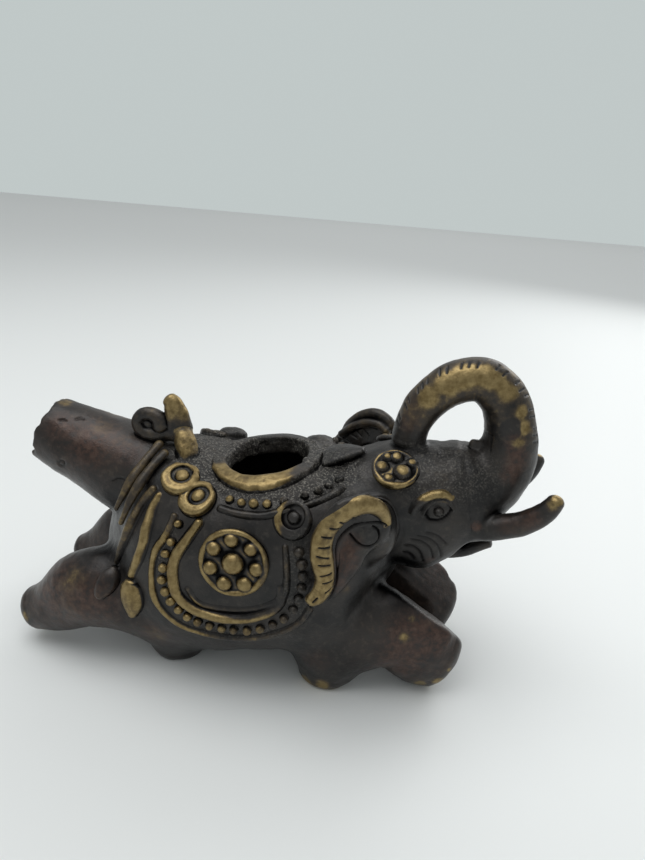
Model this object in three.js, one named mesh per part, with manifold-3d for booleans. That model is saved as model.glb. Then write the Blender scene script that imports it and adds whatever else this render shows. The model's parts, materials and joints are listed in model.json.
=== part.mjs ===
// A cast bronze water dropper in the form of a kneeling, caparisoned elephant.
// The hollow body holds the water: it is filled through the mouth on the back and poured
// through the tube at the rump. Each piece that the wax model was put together from is a
// mesh of its own, set off from its neighbours by a thin seam.
// Millimetres, +X towards the head, +Y to the elephant's left, +Z up, the ground at z = 0.
import * as THREE from "three";
import { mergeVertices } from "three/addons/utils/BufferGeometryUtils.js";
import Module from "manifold-3d";

const wasm = await Module();
wasm.setup();

// Driving dimensions

const SEAM = 0.3; // the gap between two pieces that touch

// The body is a barrel: a superellipse swept along an axis that rises towards the head.
const BODY = {
  x: -5,
  z: 27.3,
  tilt: 11,
  halfLength: 37,
  halfHeight: 22.6,
  halfWidth: 24,
  squareness: 3,
  fullness: 3,
  wall: 3,
};
const MOUTH = { x: -2.4, y: -1, boreRadius: 9.9, rimRadius: 14.3, rimHeight: 1.2 };
const TUBE = {
  rootX: -30,
  rootZ: 40.3,
  endX: -57,
  endZ: 50.8,
  rootRadius: 11.6,
  endRadius: 7.9,
  boreRadius: 5.4,
};
const COLLAR = { halfWidth: 0.7, height: 0.5, beadRadius: 1.15, beadHeight: 1.5, beads: 10 };
const COLLAR_POINT = { height: 0.9, rise: 0.62, rampFrom: 12 };
const OUTER_CORD = { halfWidth: 0.75, height: 0.9 };
const INNER_CORD = { halfWidth: 1.1, height: 1.4 };
const BEAD_ROW = { halfWidth: 0.5, height: 0.4, beadRadius: 1.0, beadHeight: 1.35, beads: 22 };
const ROSETTE = {
  radius: 7.1,
  fieldHeight: 0.7,
  rimWidth: 1.2,
  rimHeight: 1.7,
  hubRadius: 2.3,
  hubHeight: 2.3,
  pelletCircle: 4.75,
  pelletRadius: 1.4,
  pelletHeight: 2.1,
  pellets: 7,
};
const BOSS = { radius: 4.3, height: 1.9, grooveRadius: 2.4, grooveDepth: 0.9, hubRadius: 1.2 };
const HEAD_ROSETTE = { radius: 4.7, height: 1.2, pelletCircle: 2.9, pelletRadius: 1.35, pellets: 6 };
const STRAP = { halfWidth: 1.05, height: 1.1 };
const TASSEL = { halfWidth: 2.1, halfHeight: 1.7 };
const KNOT = { strandRadius: 1.35 };
const EAR = { thickness: 1.3, rimRadius: 1.9 };
const EYE_RADIUS = 1.3;
const BROW_RADIUS = 0.9;

const bronze = (color, roughness) =>
  new THREE.MeshStandardMaterial({ color, roughness, metalness: 0.75 });
const DARK = bronze(0x352d29, 0.5);
const BROWN = bronze(0x4a352a, 0.42);
const GOLDEN = bronze(0x8c6f3e, 0.4);

const dropper = new THREE.Group();

// Solids

function solidOf(geometry) {
  const open = geometry.index ? geometry.toNonIndexed() : geometry;
  const bare = new THREE.BufferGeometry().setAttribute("position", open.getAttribute("position"));
  const merged = mergeVertices(bare, 1e-4);
  const triVerts = new Uint32Array(merged.index.array);
  const vertProperties = merged.attributes.position.array;
  const made = new wasm.Manifold(new wasm.Mesh({ numProp: 3, vertProperties, triVerts }));
  if (made.volume() > 0) return made;
  for (let i = 0; i < triVerts.length; i += 3) {
    [triVerts[i], triVerts[i + 1]] = [triVerts[i + 1], triVerts[i]];
  }
  return new wasm.Manifold(new wasm.Mesh({ numProp: 3, vertProperties, triVerts }));
}

function addMesh(name, solid, material) {
  const { vertProperties, triVerts } = solid.getMesh();
  const geometry = new THREE.BufferGeometry()
    .setAttribute("position", new THREE.BufferAttribute(new Float32Array(vertProperties), 3))
    .setIndex(new THREE.BufferAttribute(new Uint32Array(triVerts), 1));
  const mesh = new THREE.Mesh(geometry, material);
  mesh.name = name;
  dropper.add(mesh);
  return solid;
}

// A piece on the elephant's right side, and its mirror image on the left.
function addPair(name, solid, material) {
  addMesh(name + "_right", solid, material);
  addMesh(name + "_left", solid.mirror([0, 1, 0]), material);
  return solid;
}

// What is left of a solid after the cuts, without the crumbs that a cut can leave beside it.
function cutBy(solid, ...cutters) {
  const rest = cutters.reduce((left, cutter) => left.subtract(cutter), solid).simplify(0.01);
  return rest.decompose().reduce((a, b) => (a.volume() > b.volume() ? a : b));
}

// A closed skin over rings of points, each end drawn together to its ring's middle.
function loftRings(rings) {
  const sides = rings[0].length;
  const points = rings.flat();
  const index = [];
  for (let i = 0; i + 1 < rings.length; i++) {
    for (let j = 0; j < sides; j++) {
      const a = i * sides + j;
      const b = i * sides + ((j + 1) % sides);
      index.push(a, b, a + sides, b, b + sides, a + sides);
    }
  }
  for (const [first, flip] of [[0, true], [(rings.length - 1) * sides, false]]) {
    const middle = new THREE.Vector3();
    for (let j = 0; j < sides; j++) middle.addScaledVector(points[first + j], 1 / sides);
    points.push(middle);
    for (let j = 0; j < sides; j++) {
      const a = first + j;
      const b = first + ((j + 1) % sides);
      index.push(points.length - 1, flip ? b : a, flip ? a : b);
    }
  }
  return solidOf(new THREE.BufferGeometry().setFromPoints(points).setIndex(index));
}

function ellipse(centre, across, over, wide, high, sides) {
  return Array.from({ length: sides }, (_, j) => {
    const angle = (2 * Math.PI * j) / sides;
    return centre
      .clone()
      .addScaledVector(across, wide * Math.cos(angle))
      .addScaledVector(over, high * Math.sin(angle));
  });
}

// A limb is a sphere drawn out along a curve, so that both its ends are round. A station is
// [x, y, z, half width, half height], and grow swells the limb all round.
function limb(stations, { sides = 14, rings = 14, cap = 0.1, grow = 0 } = {}) {
  const curve = (points) => new THREE.CatmullRomCurve3(points, false, "centripetal");
  const path = curve(stations.map(([x, y, z]) => new THREE.Vector3(x, y, z)));
  const sizes = curve(
    stations.map(([, , , wide, high = wide]) => new THREE.Vector3(wide + grow, high + grow, 0)),
  );
  const sections = [];
  for (let i = 1; i < rings; i++) {
    const along = (1 - Math.cos((Math.PI * i) / rings)) / 2;
    const toEnd = Math.min(1, Math.min(along, 1 - along) / cap);
    const round = Math.sqrt(1 - (1 - toEnd) ** 2);
    const t = path.getUtoTmapping(along);
    const size = sizes.getPoint(t).multiplyScalar(round);
    const forward = path.getTangent(t);
    const centre = path.getPoint(t).addScaledVector(forward, (2 * along - 1) * grow);
    const across = new THREE.Vector3(0, 1, 0).addScaledVector(forward, -forward.y).normalize();
    const over = new THREE.Vector3().crossVectors(across, forward);
    sections.push(ellipse(centre, across, over, size.x, size.y, sides));
  }
  return loftRings(sections);
}

function cone([x0, z0], [x1, z1], y, radius0, radius1, sides) {
  const from = new THREE.Vector3(x0, y, z0);
  const to = new THREE.Vector3(x1, y, z1);
  const geometry = new THREE.CylinderGeometry(radius1, radius0, from.distanceTo(to), sides);
  const direction = to.clone().sub(from).normalize();
  const turn = new THREE.Quaternion().setFromUnitVectors(new THREE.Vector3(0, 1, 0), direction);
  const middle = from.add(to).multiplyScalar(0.5);
  return solidOf(geometry.applyQuaternion(turn).translate(middle.x, middle.y, middle.z));
}

// The body's surface

const bodyAxis = new THREE.Matrix4()
  .makeTranslation(BODY.x, 0, BODY.z)
  .multiply(new THREE.Matrix4().makeRotationY(THREE.MathUtils.degToRad(-BODY.tilt)));
const bodyAxisInverse = bodyAxis.clone().invert();

const taper = (share) => Math.sqrt(1 - Math.abs(share) ** BODY.fullness);
const squared = (up, out) =>
  (Math.abs(up) ** BODY.squareness + Math.abs(out) ** BODY.squareness) ** (1 / BODY.squareness);

function barrel(grow, sides, steps) {
  const rings = [];
  for (let i = 1; i < steps; i++) {
    const share = -Math.cos((Math.PI * i) / steps);
    const ring = [];
    for (let j = 0; j < sides; j++) {
      const up = Math.cos((2 * Math.PI * j) / sides);
      const out = Math.sin((2 * Math.PI * j) / sides);
      const reach = taper(share) / squared(up, out);
      const point = new THREE.Vector3(
        share * (BODY.halfLength + grow),
        out * reach * (BODY.halfWidth + grow),
        up * reach * (BODY.halfHeight + grow),
      );
      ring.push(point.applyMatrix4(bodyAxis));
    }
    rings.push(ring);
  }
  return loftRings(rings);
}

// The place on the body's surface abreast of a point, lifted off it along its normal.
function onBody(place, lift = 0) {
  const local = place.clone().applyMatrix4(bodyAxisInverse);
  const share = THREE.MathUtils.clamp(local.x / BODY.halfLength, -0.999, 0.999);
  const reach = taper(share) / squared(local.z / BODY.halfHeight, local.y / BODY.halfWidth);
  local.set(share * BODY.halfLength, local.y * reach, local.z * reach);
  const up = local.z / BODY.halfHeight / taper(share);
  const out = local.y / BODY.halfWidth / taper(share);
  const steepness = (BODY.fullness * Math.sign(share) * Math.abs(share) ** (BODY.fullness - 1)) / 2;
  const normal = new THREE.Vector3(
    steepness / taper(share) / BODY.halfLength,
    (Math.sign(out) * Math.abs(out) ** (BODY.squareness - 1)) / BODY.halfWidth,
    (Math.sign(up) * Math.abs(up) ** (BODY.squareness - 1)) / BODY.halfHeight,
  ).normalize();
  const point = local.addScaledVector(normal, lift).applyMatrix4(bodyAxis);
  return { point, normal: normal.transformDirection(bodyAxis) };
}

// Two directions along the surface at right angles to its normal, the first one forwards.
function tangents(normal) {
  const ahead = new THREE.Vector3(1, 0, 0).addScaledVector(normal, -normal.x).normalize();
  return [ahead, new THREE.Vector3().crossVectors(normal, ahead)];
}

// Ornament that follows the body's surface

// Turns a profile of [radius, height] round a place on the body, from the middle outwards and
// down to the seam, from which the heights count. The underside lies along the body too.
const UNDERSIDE = [0.66, 0.33];
function seated(place, profile, sides, underside = UNDERSIDE) {
  const { point: centre, normal } = onBody(place);
  const [ahead, beside] = tangents(normal);
  const [foot, footHeight] = profile.at(-1);
  const under = underside.map((share) => [foot * share, footHeight]);
  return loftRings(
    [...profile, ...under].map(([radius, height]) =>
      ellipse(centre, ahead, beside, radius, radius, sides).map((p) => onBody(p, SEAM + height).point),
    ),
  );
}

function dome(place, radius, height, sides) {
  const profile = [
    [radius * 0.45, height],
    [radius * 0.85, height * 0.65],
    [radius, 0.05],
  ];
  return seated(place, profile, sides, []);
}

function bodyPath(points) {
  return new THREE.CatmullRomCurve3(points.map((p) => onBody(new THREE.Vector3(...p)).point));
}

// A half-round cord laid on the body along a list of points, each step with a half width and a
// height of its own.
function cordOf(points, sizes) {
  const path = bodyPath(points);
  const steps = sizes.length - 1;
  const section = [[-1, 0], [-0.75, 0.7], [0, 1], [0.75, 0.7], [1, 0]];
  const rings = sizes.map(([halfWidth, height], i) => {
    const { point, normal } = onBody(path.getPointAt(i / steps));
    const across = new THREE.Vector3().crossVectors(normal, path.getTangentAt(i / steps)).normalize();
    return section.map(([share, rise]) => {
      const at = point.clone().addScaledVector(across, share * halfWidth);
      return onBody(at, SEAM + rise * height).point;
    });
  });
  return loftRings(rings);
}

function cord(points, { halfWidth, height }, steps) {
  const sizes = Array.from({ length: steps + 1 }, (_, i) => {
    const end = i === 0 || i === steps ? 0.5 : 1;
    return [halfWidth * end, height * end];
  });
  return cordOf(points, sizes);
}

// A band that swells to a bead at even steps: four steps to a bead, its waist first.
function beadedBand(points, { halfWidth, height, beadRadius, beadHeight, beads }) {
  const swell = [0, 0.85, 1, 0.85];
  const sizes = Array.from({ length: 4 * beads + 1 }, (_, i) => {
    const share = swell[i % 4];
    return [
      THREE.MathUtils.lerp(halfWidth, beadRadius, share),
      THREE.MathUtils.lerp(height, beadHeight, share),
    ];
  });
  return cordOf(points, sizes);
}

// Body, mouth and tube

const bodyClear = barrel(SEAM, 32, 16);

const mouthTop = onBody(new THREE.Vector3(MOUTH.x, 0, BODY.z + BODY.halfHeight));
const alongMouth = (height) => {
  const at = mouthTop.point.clone().addScaledVector(mouthTop.normal, height);
  return [at.x, at.z];
};
const mouthBore = cone(alongMouth(-12), alongMouth(6), MOUTH.y, MOUTH.boreRadius, MOUTH.boreRadius, 30);

const alongTube = (share) => [
  THREE.MathUtils.lerp(TUBE.rootX, TUBE.endX, share),
  THREE.MathUtils.lerp(TUBE.rootZ, TUBE.endZ, share),
];
const tubeBore = cone(alongTube(-0.45), alongTube(1.3), 0, TUBE.boreRadius, TUBE.boreRadius, 18);
const tubeSkin = (grow) => {
  const root = TUBE.rootRadius + grow;
  const stem = cone(alongTube(-0.02), alongTube(1), 0, root, TUBE.endRadius + grow, 24);
  return stem.add(cone(alongTube(-0.6), alongTube(0), 0, root, root, 24));
};
const tubeClear = tubeSkin(SEAM);

const cavity = barrel(-BODY.wall, 20, 10);
addMesh("body_shell", cutBy(barrel(0, 32, 16), cavity, mouthBore, tubeBore), DARK);
addMesh("pouring_tube", cutBy(tubeSkin(0), bodyClear, tubeBore), BROWN);

const mouthPlace = mouthTop.point.clone().setY(MOUTH.y);
const rimWidth = MOUTH.rimRadius - MOUTH.boreRadius;
const ring = (place, grow) =>
  seated(
    place,
    [
      [MOUTH.boreRadius - 1, MOUTH.rimHeight + grow],
      [MOUTH.boreRadius + rimWidth * 0.55 + grow, MOUTH.rimHeight + grow],
      [MOUTH.rimRadius - rimWidth * 0.1 + grow, MOUTH.rimHeight * 0.6 + grow],
      [MOUTH.rimRadius + grow, -grow],
    ],
    36,
    [0.86, 0.73, 0.6],
  );
const mouthRim = addMesh("mouth_rim", cutBy(ring(mouthPlace, 0), mouthBore, tubeClear), GOLDEN);
const mouthRimClear = ring(mouthPlace, SEAM);

// The collar in front of the mouth runs out into a point over the nape.
const COLLAR_OUTLINE = [
  [10.8, -6],
  [13.4, -5.6],
  [15.8, -4.2],
  [17.9, -2.4],
  [19.3, -0.7],
  [19.3, 0.7],
  [17.9, 2.4],
  [15.8, 4.2],
  [13.4, 5.6],
  [10.8, 6],
  [11.8, 3],
  [11.8, -3],
];
function collarPoint() {
  const middle = new THREE.Vector2(14.5, 0);
  const levels = [[0.5, 1], [0.93, 1], [1, 0.5], [1, 0], ...UNDERSIDE.map((reach) => [reach, 0])];
  return loftRings(
    levels.map(([reach, share]) =>
      COLLAR_OUTLINE.map(([x, y]) => {
        const at = new THREE.Vector2(x, y).sub(middle).multiplyScalar(reach).add(middle);
        const ramp = Math.max(0, at.x - COLLAR_POINT.rampFrom) * COLLAR_POINT.rise;
        const top = COLLAR_POINT.height + ramp;
        return onBody(new THREE.Vector3(at.x, at.y, BODY.z + BODY.halfHeight + 2), SEAM + top * share).point;
      }),
    ),
  );
}

// Head: its stations are counted from the nape, which lies level with the middle of the back

const NAPE = { x: 32, z: BODY.z + BODY.halfHeight };
const atNape = ([x, y, z, ...sizes]) => [NAPE.x + x, y, NAPE.z + z, ...sizes];

const HEAD_STATIONS = [
  [-15, 0, -11.9, 11.5, 12.4],
  [-9, 0, -8.1, 12.8, 13.2],
  [-2, 0, -5.4, 12.6, 13.9],
  [6.5, 0, -5.1, 12, 13.9],
  [12.5, 0, -4.1, 10, 12],
  [17.5, 0, -2.4, 7.2, 8.5],
].map(atNape);
const headLimb = (grow) => limb(HEAD_STATIONS, { sides: 18, rings: 14, cap: 0.12, grow });
const headClear = headLimb(SEAM);
addMesh("head", cutBy(headLimb(0), bodyClear), DARK);
addMesh("collar_point", cutBy(collarPoint(), mouthRimClear, headClear), DARK);

const TRUNK_STATIONS = [
  [13, 0, -4.9, 8, 8],
  [18, 0, 1.6, 7, 7.2],
  [19.8, 0, 8.6, 6, 6.1],
  [18.9, 0, 15.1, 5.4, 5.5],
  [16.2, 0, 20.9, 5, 5],
  [11.2, 0, 24.1, 4.7, 4.7],
  [5.2, 0, 22.6, 4.6, 4.6],
  [0.4, 0, 18, 4.4, 4.4],
  [-2.2, 0, 12.4, 4, 4],
  [-2.7, 0, 6.6, 3.8, 3.8],
].map(atNape);
const trunkLimb = (grow) => limb(TRUNK_STATIONS, { sides: 12, rings: 26, cap: 0.04, grow });
const trunkClear = trunkLimb(SEAM);
addMesh("trunk", cutBy(trunkLimb(0), headClear), BROWN);

const TUSK_STATIONS = [
  [11, -6, -9.9, 2.6],
  [18, -7.9, -6.7, 2.7],
  [23.5, -9.7, -3.7, 2.35],
  [27.6, -10.9, 0.5, 1.9],
  [29.2, -11.2, 4.7, 1.4],
].map(atNape);
const tusk = limb(TUSK_STATIONS, { sides: 8, rings: 12, cap: 0.08 });
addPair("tusk", cutBy(tusk, headClear, trunkClear), BROWN);

const LIP_STATIONS = [
  [6, 0, -19.4, 5, 1.8],
  [12, 0, -18.4, 4.2, 1.6],
  [17, 0, -16.3, 3.2, 1.4],
  [20.6, 0, -13.9, 2.2, 1.1],
].map(atNape);
addMesh("lower_lip", cutBy(limb(LIP_STATIONS, { sides: 10, rings: 10, cap: 0.12 }), headClear), DARK);

const EYE_PLACE = atNape([5.3, -11.6, -2.6]);
const eye = solidOf(new THREE.SphereGeometry(EYE_RADIUS, 10, 8).translate(...EYE_PLACE));
addPair("eye", cutBy(eye, headClear), DARK);
const BROW_STATIONS = [
  [0.2, -11.9, -2.1, BROW_RADIUS],
  [2.4, -11.9, -0.1, BROW_RADIUS],
  [5, -11.4, 0.9, BROW_RADIUS],
  [7.4, -10.8, 0.7, BROW_RADIUS],
].map(atNape);
addPair("brow", cutBy(limb(BROW_STATIONS, { sides: 7, rings: 8 }), headClear), GOLDEN);

// A medallion of pellets on the temple, turned to face along the head's surface there.
const HEAD_ROSETTE_PLACE = new THREE.Vector3(...atNape([-4.8, -8.6, 4.7]));
const HEAD_ROSETTE_FACE = new THREE.Vector3(0.1, -0.66, 0.74).normalize();
function headRosette() {
  const { radius, height, pelletCircle, pelletRadius, pellets } = HEAD_ROSETTE;
  const disc = new THREE.CylinderGeometry(radius * 0.92, radius, height + 4, 16).translate(0, -2, 0);
  let solid = solidOf(disc);
  for (let i = 0; i <= pellets; i++) {
    const angle = (2 * Math.PI * i) / pellets;
    const out = i < pellets ? pelletCircle : 0;
    const pellet = new THREE.SphereGeometry(pelletRadius, 6, 5);
    pellet.translate(out * Math.cos(angle), height / 2, out * Math.sin(angle));
    solid = solid.add(solidOf(pellet));
  }
  const turn = new THREE.Quaternion().setFromUnitVectors(new THREE.Vector3(0, 1, 0), HEAD_ROSETTE_FACE);
  const place = new THREE.Matrix4().compose(HEAD_ROSETTE_PLACE, turn, new THREE.Vector3(1, 1, 1));
  return solid.transform(place.elements);
}
addPair("head_rosette", cutBy(headRosette(), headClear, trunkClear), GOLDEN);

// Ears

// A leaf is lofted across stations of [back edge, front edge], and bulges by its thickness.
function leaf(stations, thickness, sides) {
  const rings = stations.map(([back, front], i) => {
    const from = new THREE.Vector3(...back);
    const half = new THREE.Vector3(...front).sub(from).multiplyScalar(0.5);
    const next = new THREE.Vector3(...stations[Math.min(i + 1, stations.length - 1)][0]);
    const last = new THREE.Vector3(...stations[Math.max(i - 1, 0)][0]);
    const out = new THREE.Vector3().crossVectors(next.sub(last), half).normalize();
    return ellipse(from.add(half), half.clone().normalize(), out, half.length(), thickness, sides);
  });
  return loftRings(rings);
}

// Across, an ear's places are counted outwards from the body's widest part.
const atEar = ([x, out, z, ...sizes]) => atNape([x, -BODY.halfWidth - out, z, ...sizes]);
const EAR_STATIONS = [
  [[-12.6, 1.4, 5.3], [-9.6, 0.6, 5.1]],
  [[-16.4, 2.4, 2.7], [-5.6, -2.5, 2.1]],
  [[-18.8, 2.6, -1.7], [-4, -6.5, -2.1]],
  [[-19.2, 2.3, -6.9], [-4.6, -7.5, -6.4]],
  [[-18.4, 1.9, -11.9], [-7.5, -5, -10.9]],
  [[-17.4, 1.4, -16.5], [-11.5, -1.5, -15.5]],
  [[-18, 1, -20.5], [-15.4, 0.4, -19.9]],
].map((edges) => edges.map(atEar));
const EAR_RIM_STATIONS = [
  [-5.8, -0.4, 1.5, EAR.rimRadius * 0.7],
  [-8.6, 1.6, 4.7, EAR.rimRadius],
  [-12.6, 2.6, 5.7, EAR.rimRadius],
  [-16.6, 3, 2.5, EAR.rimRadius],
  [-19, 3, -2.3, EAR.rimRadius],
  [-18.9, 2.6, -7.9, EAR.rimRadius],
  [-17.8, 2, -13.5, EAR.rimRadius * 0.9],
  [-17.6, 1.7, -18.5, EAR.rimRadius * 0.8],
  [-20.2, 1.3, -21.3, EAR.rimRadius * 0.6],
].map(atEar);
const earRimLimb = (grow) => limb(EAR_RIM_STATIONS, { sides: 8, rings: 18, cap: 0.05, grow });
const earRimClear = earRimLimb(SEAM);
const ear = leaf(EAR_STATIONS, EAR.thickness, 12);
addPair("ear_rim", cutBy(earRimLimb(0), bodyClear, headClear), GOLDEN);
addPair("ear", cutBy(ear, bodyClear, headClear, earRimClear), BROWN);

// Legs

const ground = solidOf(new THREE.BoxGeometry(300, 300, 50).translate(0, 0, -25));
const FORELEG = {
  upper: [
    [11, -12.5, 27, 8.4, 8.6],
    [13.6, -12.6, 16, 8, 8.4],
    [16, -11.8, 6, 6.8, 7.4],
    [17.2, -11.4, -1.8, 5.6, 6.2],
  ],
  lower: [
    [13, -11.8, 5.5, 6.4, 6.8],
    [19, -11.9, 9.4, 6.8, 8],
    [26.5, -11.4, 15.6, 7.2, 10.6],
    [33.4, -10.4, 15.2, 7, 11],
    [40.8, -9.2, 10, 6.7, 11.2],
    [47.6, -8.8, 7.6, 5, 6.4],
  ],
};
const HINDLEG = {
  upper: [
    [-14, -12.6, 21, 8.6, 9],
    [-17.6, -11.6, 12, 7.8, 8.4],
    [-20.4, -10.4, 5, 6.6, 7.2],
    [-21.6, -9.8, -1.6, 5.6, 6],
  ],
  lower: [
    [-17, -10.6, 6, 6.4, 6.6],
    [-22.5, -11.6, 9.4, 7.4, 7.8],
    [-29, -12.8, 13, 8.2, 9.6],
    [-36, -13.2, 15.8, 8.4, 11],
    [-42.6, -13.2, 15.2, 8, 10.6],
    [-50, -12.8, 10.4, 6.4, 7.4],
    [-59.4, -12.6, 6.4, 4.4, 5],
  ],
};
function legSolid({ upper, lower }, grow = 0) {
  return limb(upper, { sides: 12, rings: 9, cap: 0.2, grow }).add(limb(lower, { sides: 12, rings: 12, grow }));
}
const forelegClear = legSolid(FORELEG, SEAM);
const hindlegClear = legSolid(HINDLEG, SEAM);
addPair("foreleg", cutBy(legSolid(FORELEG), bodyClear, headClear, earRimClear, ground), BROWN);
addPair("hindleg", cutBy(legSolid(HINDLEG), bodyClear, ground), BROWN);

// Saddle cloth: cords, beads, rosettes and bosses, listed on the elephant's right side

const flank = (x, z, y = -BODY.halfWidth) => [x, y, z];

const BOSS_PLACES = {
  rear: flank(-19.2, 47.2, -11.6),
  middle: flank(-13.7, 46.2, -18.2),
  front: flank(7.5, 46, -20.9),
};
function bossAt(place) {
  const floor = BOSS.height - BOSS.grooveDepth;
  const profile = [
    [BOSS.hubRadius * 0.5, BOSS.height],
    [BOSS.hubRadius, floor],
    [BOSS.grooveRadius, floor],
    [BOSS.grooveRadius + 0.4, BOSS.height],
    [BOSS.radius - 0.7, BOSS.height * 0.85],
    [BOSS.radius, BOSS.height * 0.4],
    [BOSS.radius, 0],
  ];
  return seated(new THREE.Vector3(...place), profile, 14, [0.5]);
}
function roundBoss(place) {
  const radius = BOSS.radius + SEAM;
  return seated(new THREE.Vector3(...place), [[radius, BOSS.height + SEAM], [radius, -0.6]], 16);
}
addPair("boss_rear", cutBy(bossAt(BOSS_PLACES.rear), tubeClear, roundBoss(BOSS_PLACES.middle)), GOLDEN);
addPair("boss_middle", bossAt(BOSS_PLACES.middle), GOLDEN);
addPair("boss_front", bossAt(BOSS_PLACES.front), GOLDEN);
const bossesClear = roundBoss(BOSS_PLACES.middle).add(roundBoss(BOSS_PLACES.front));

const outerCord = cord(
  [
    flank(-18.9, 41.6, -20.6),
    flank(-21.1, 36.6),
    flank(-22, 30),
    flank(-20.8, 22),
    flank(-15.5, 17.2),
    flank(-8.7, 15.7),
    flank(-2.1, 15.6),
    flank(4.6, 17.8),
    flank(10.9, 22.3),
    flank(12.2, 25.6),
  ],
  OUTER_CORD,
  24,
);
addPair("outer_cord", cutBy(outerCord, hindlegClear, forelegClear, earRimClear), GOLDEN);

const innerCord = cord(
  [
    flank(-12.8, 41.8, -21.4),
    flank(-15, 38.9),
    flank(-16.9, 34.3),
    flank(-17, 29.6),
    flank(-15.9, 25.5),
    flank(-13, 23),
    flank(-8.9, 21.7),
    flank(-3, 21.7),
    flank(2, 23.4),
    flank(5.6, 26),
    flank(7.3, 30.5),
    flank(6.9, 36),
  ],
  INNER_CORD,
  24,
);
addPair("inner_cord", innerCord, GOLDEN);

const beadRow = beadedBand(
  [
    flank(-16.9, 40.6, -21.8),
    flank(-18.4, 37.2),
    flank(-19.5, 31.4),
    flank(-18.9, 25.9),
    flank(-15.6, 21.4),
    flank(-11.4, 19.1),
    flank(-6.1, 18.5),
    flank(-0.3, 18.9),
    flank(5.3, 21.4),
    flank(9.2, 25.4),
    flank(10.4, 30.5),
    flank(10.5, 36),
    flank(9.5, 40),
  ],
  BEAD_ROW,
);
addPair("bead_row", beadRow, GOLDEN);

function flankRosette() {
  const { radius, fieldHeight, rimWidth, rimHeight, pelletCircle, pellets } = ROSETTE;
  const at = new THREE.Vector3(...flank(-3.8, 35.9));
  const profile = [
    [radius * 0.4, fieldHeight],
    [radius - rimWidth, fieldHeight],
    [radius - rimWidth * 0.75, rimHeight],
    [radius - rimWidth * 0.25, rimHeight],
    [radius, 0],
  ];
  let solid = seated(at, profile, 20).add(dome(at, ROSETTE.hubRadius, ROSETTE.hubHeight, 12));
  const { point, normal } = onBody(at);
  const [ahead, beside] = tangents(normal);
  for (const spot of ellipse(point, ahead, beside, pelletCircle, pelletCircle, pellets)) {
    solid = solid.add(dome(spot, ROSETTE.pelletRadius, ROSETTE.pelletHeight, 7));
  }
  return solid;
}
addPair("flank_rosette", flankRosette(), GOLDEN);

const collarBand = beadedBand(
  [
    flank(-8, 47.3, -17.8),
    flank(-4.1, 47.7, -18.5),
    flank(-1.4, 47.9, -18.8),
    flank(1.5, 48.3, -18.6),
    flank(5, 49.2, -17.7),
    flank(8.7, 50, -16.2),
    flank(12.7, 50.9, -12.6),
    flank(15.6, 51.3, -8.6),
    flank(18, 51, -4.2),
  ],
  COLLAR,
);
addPair("collar_band", cutBy(collarBand, bossesClear, mouthRimClear, headClear), GOLDEN);

// Crupper: the straps that hang from the knot behind the saddle

const strapB = cord([flank(-25, 44.6, -14.6), flank(-27, 39.9, -19.4), flank(-30.6, 31, -20.8)], STRAP, 10);
const strapC = cord([flank(-22.9, 44.4, -16.6), flank(-24, 38.9, -21.3), flank(-26.8, 29, -22.6)], STRAP, 10);
addPair("strap_third", cutBy(strapB, tubeClear), DARK);
addPair("strap_fourth", cutBy(strapC, tubeClear), GOLDEN);

const upperStrap = (points) =>
  limb(points.map((p) => [...p, STRAP.halfWidth, STRAP.height]), { sides: 7, rings: 10 });
const strapA1 = upperStrap([[-26.8, -4.8, 52.6], [-28.9, -10, 48.8], [-30.9, -13.7, 45], [-33.2, -16.1, 38.8]]);
const strapA2 = upperStrap([[-24, -7.4, 51.2], [-26.2, -11.6, 48.8], [-28.6, -15.8, 44.2], [-30.3, -19, 38]]);
addPair("strap_first", cutBy(strapA1, bodyClear, tubeClear), DARK);
addPair("strap_second", cutBy(strapA2, bodyClear, tubeClear), DARK);

// A tassel's two ends are places abreast of the body, each with how far off it the tassel lies.
const tassel = ([top, topLift], [foot, footLift]) => {
  const from = onBody(new THREE.Vector3(...top), topLift).point;
  const to = onBody(new THREE.Vector3(...foot), footLift).point;
  const at = (share, size) => [
    ...from.clone().lerp(to, share).toArray(),
    TASSEL.halfHeight * size,
    TASSEL.halfWidth * size,
  ];
  return limb([at(0, 0.8), at(0.3, 1), at(0.6, 1), at(1, 0.5)], { sides: 10, rings: 10, cap: 0.2 });
};
const hungTassel = (from, to) => cutBy(tassel(from, to), bodyClear, hindlegClear);
const tasselThird = hungTassel([flank(-30.8, 27.4, -19.7), 2.2], [flank(-32.5, 19.8, -17.8), 4.9]);
const tasselFourth = hungTassel([flank(-26.8, 26.1, -21.4), 1.7], [flank(-27.2, 16.3, -20.2), 1.7]);
addPair("tassel_third", tasselThird, DARK);
addPair("tassel_fourth", tasselFourth, GOLDEN);

// The knot: a strand that curls up on itself, a blunt horn and a stub that hangs down.
const CURL_STATIONS = [
  [-29.6, -2.5, 56.6],
  [-30.3, -2.5, 58.2],
  [-32.4, -2.5, 57.9],
  [-33.9, -2.5, 55.6],
  [-31.9, -2.5, 53.4],
  [-28.9, -2.5, 53],
  [-25, -2.3, 54],
];
const HORN_STATIONS = [
  [-24, -1, 50, 2.4, 2.6],
  [-25, -1, 54.5, 2.5, 2.6],
  [-24.9, -1, 58.2, 2.3, 2.5],
  [-25.6, -1, 60.6, 1.9, 2.1],
  [-26.9, -1, 62.4, 1.2, 1.3],
];
const STUB_STATIONS = [
  [-22.8, -2.4, 53.4, 1.9],
  [-21, -3.6, 53.2, 2.5],
  [-19.2, -5.4, 52, 2.3],
  [-17.8, -7.4, 49.4, 1.5],
];
const curl = limb(
  CURL_STATIONS.map((p) => [...p, KNOT.strandRadius]),
  { sides: 8, rings: 24, cap: 0.06 },
);
const hornLimb = (grow) => limb(HORN_STATIONS, { sides: 10, rings: 12, grow });
const hornClear = hornLimb(SEAM);
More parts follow.
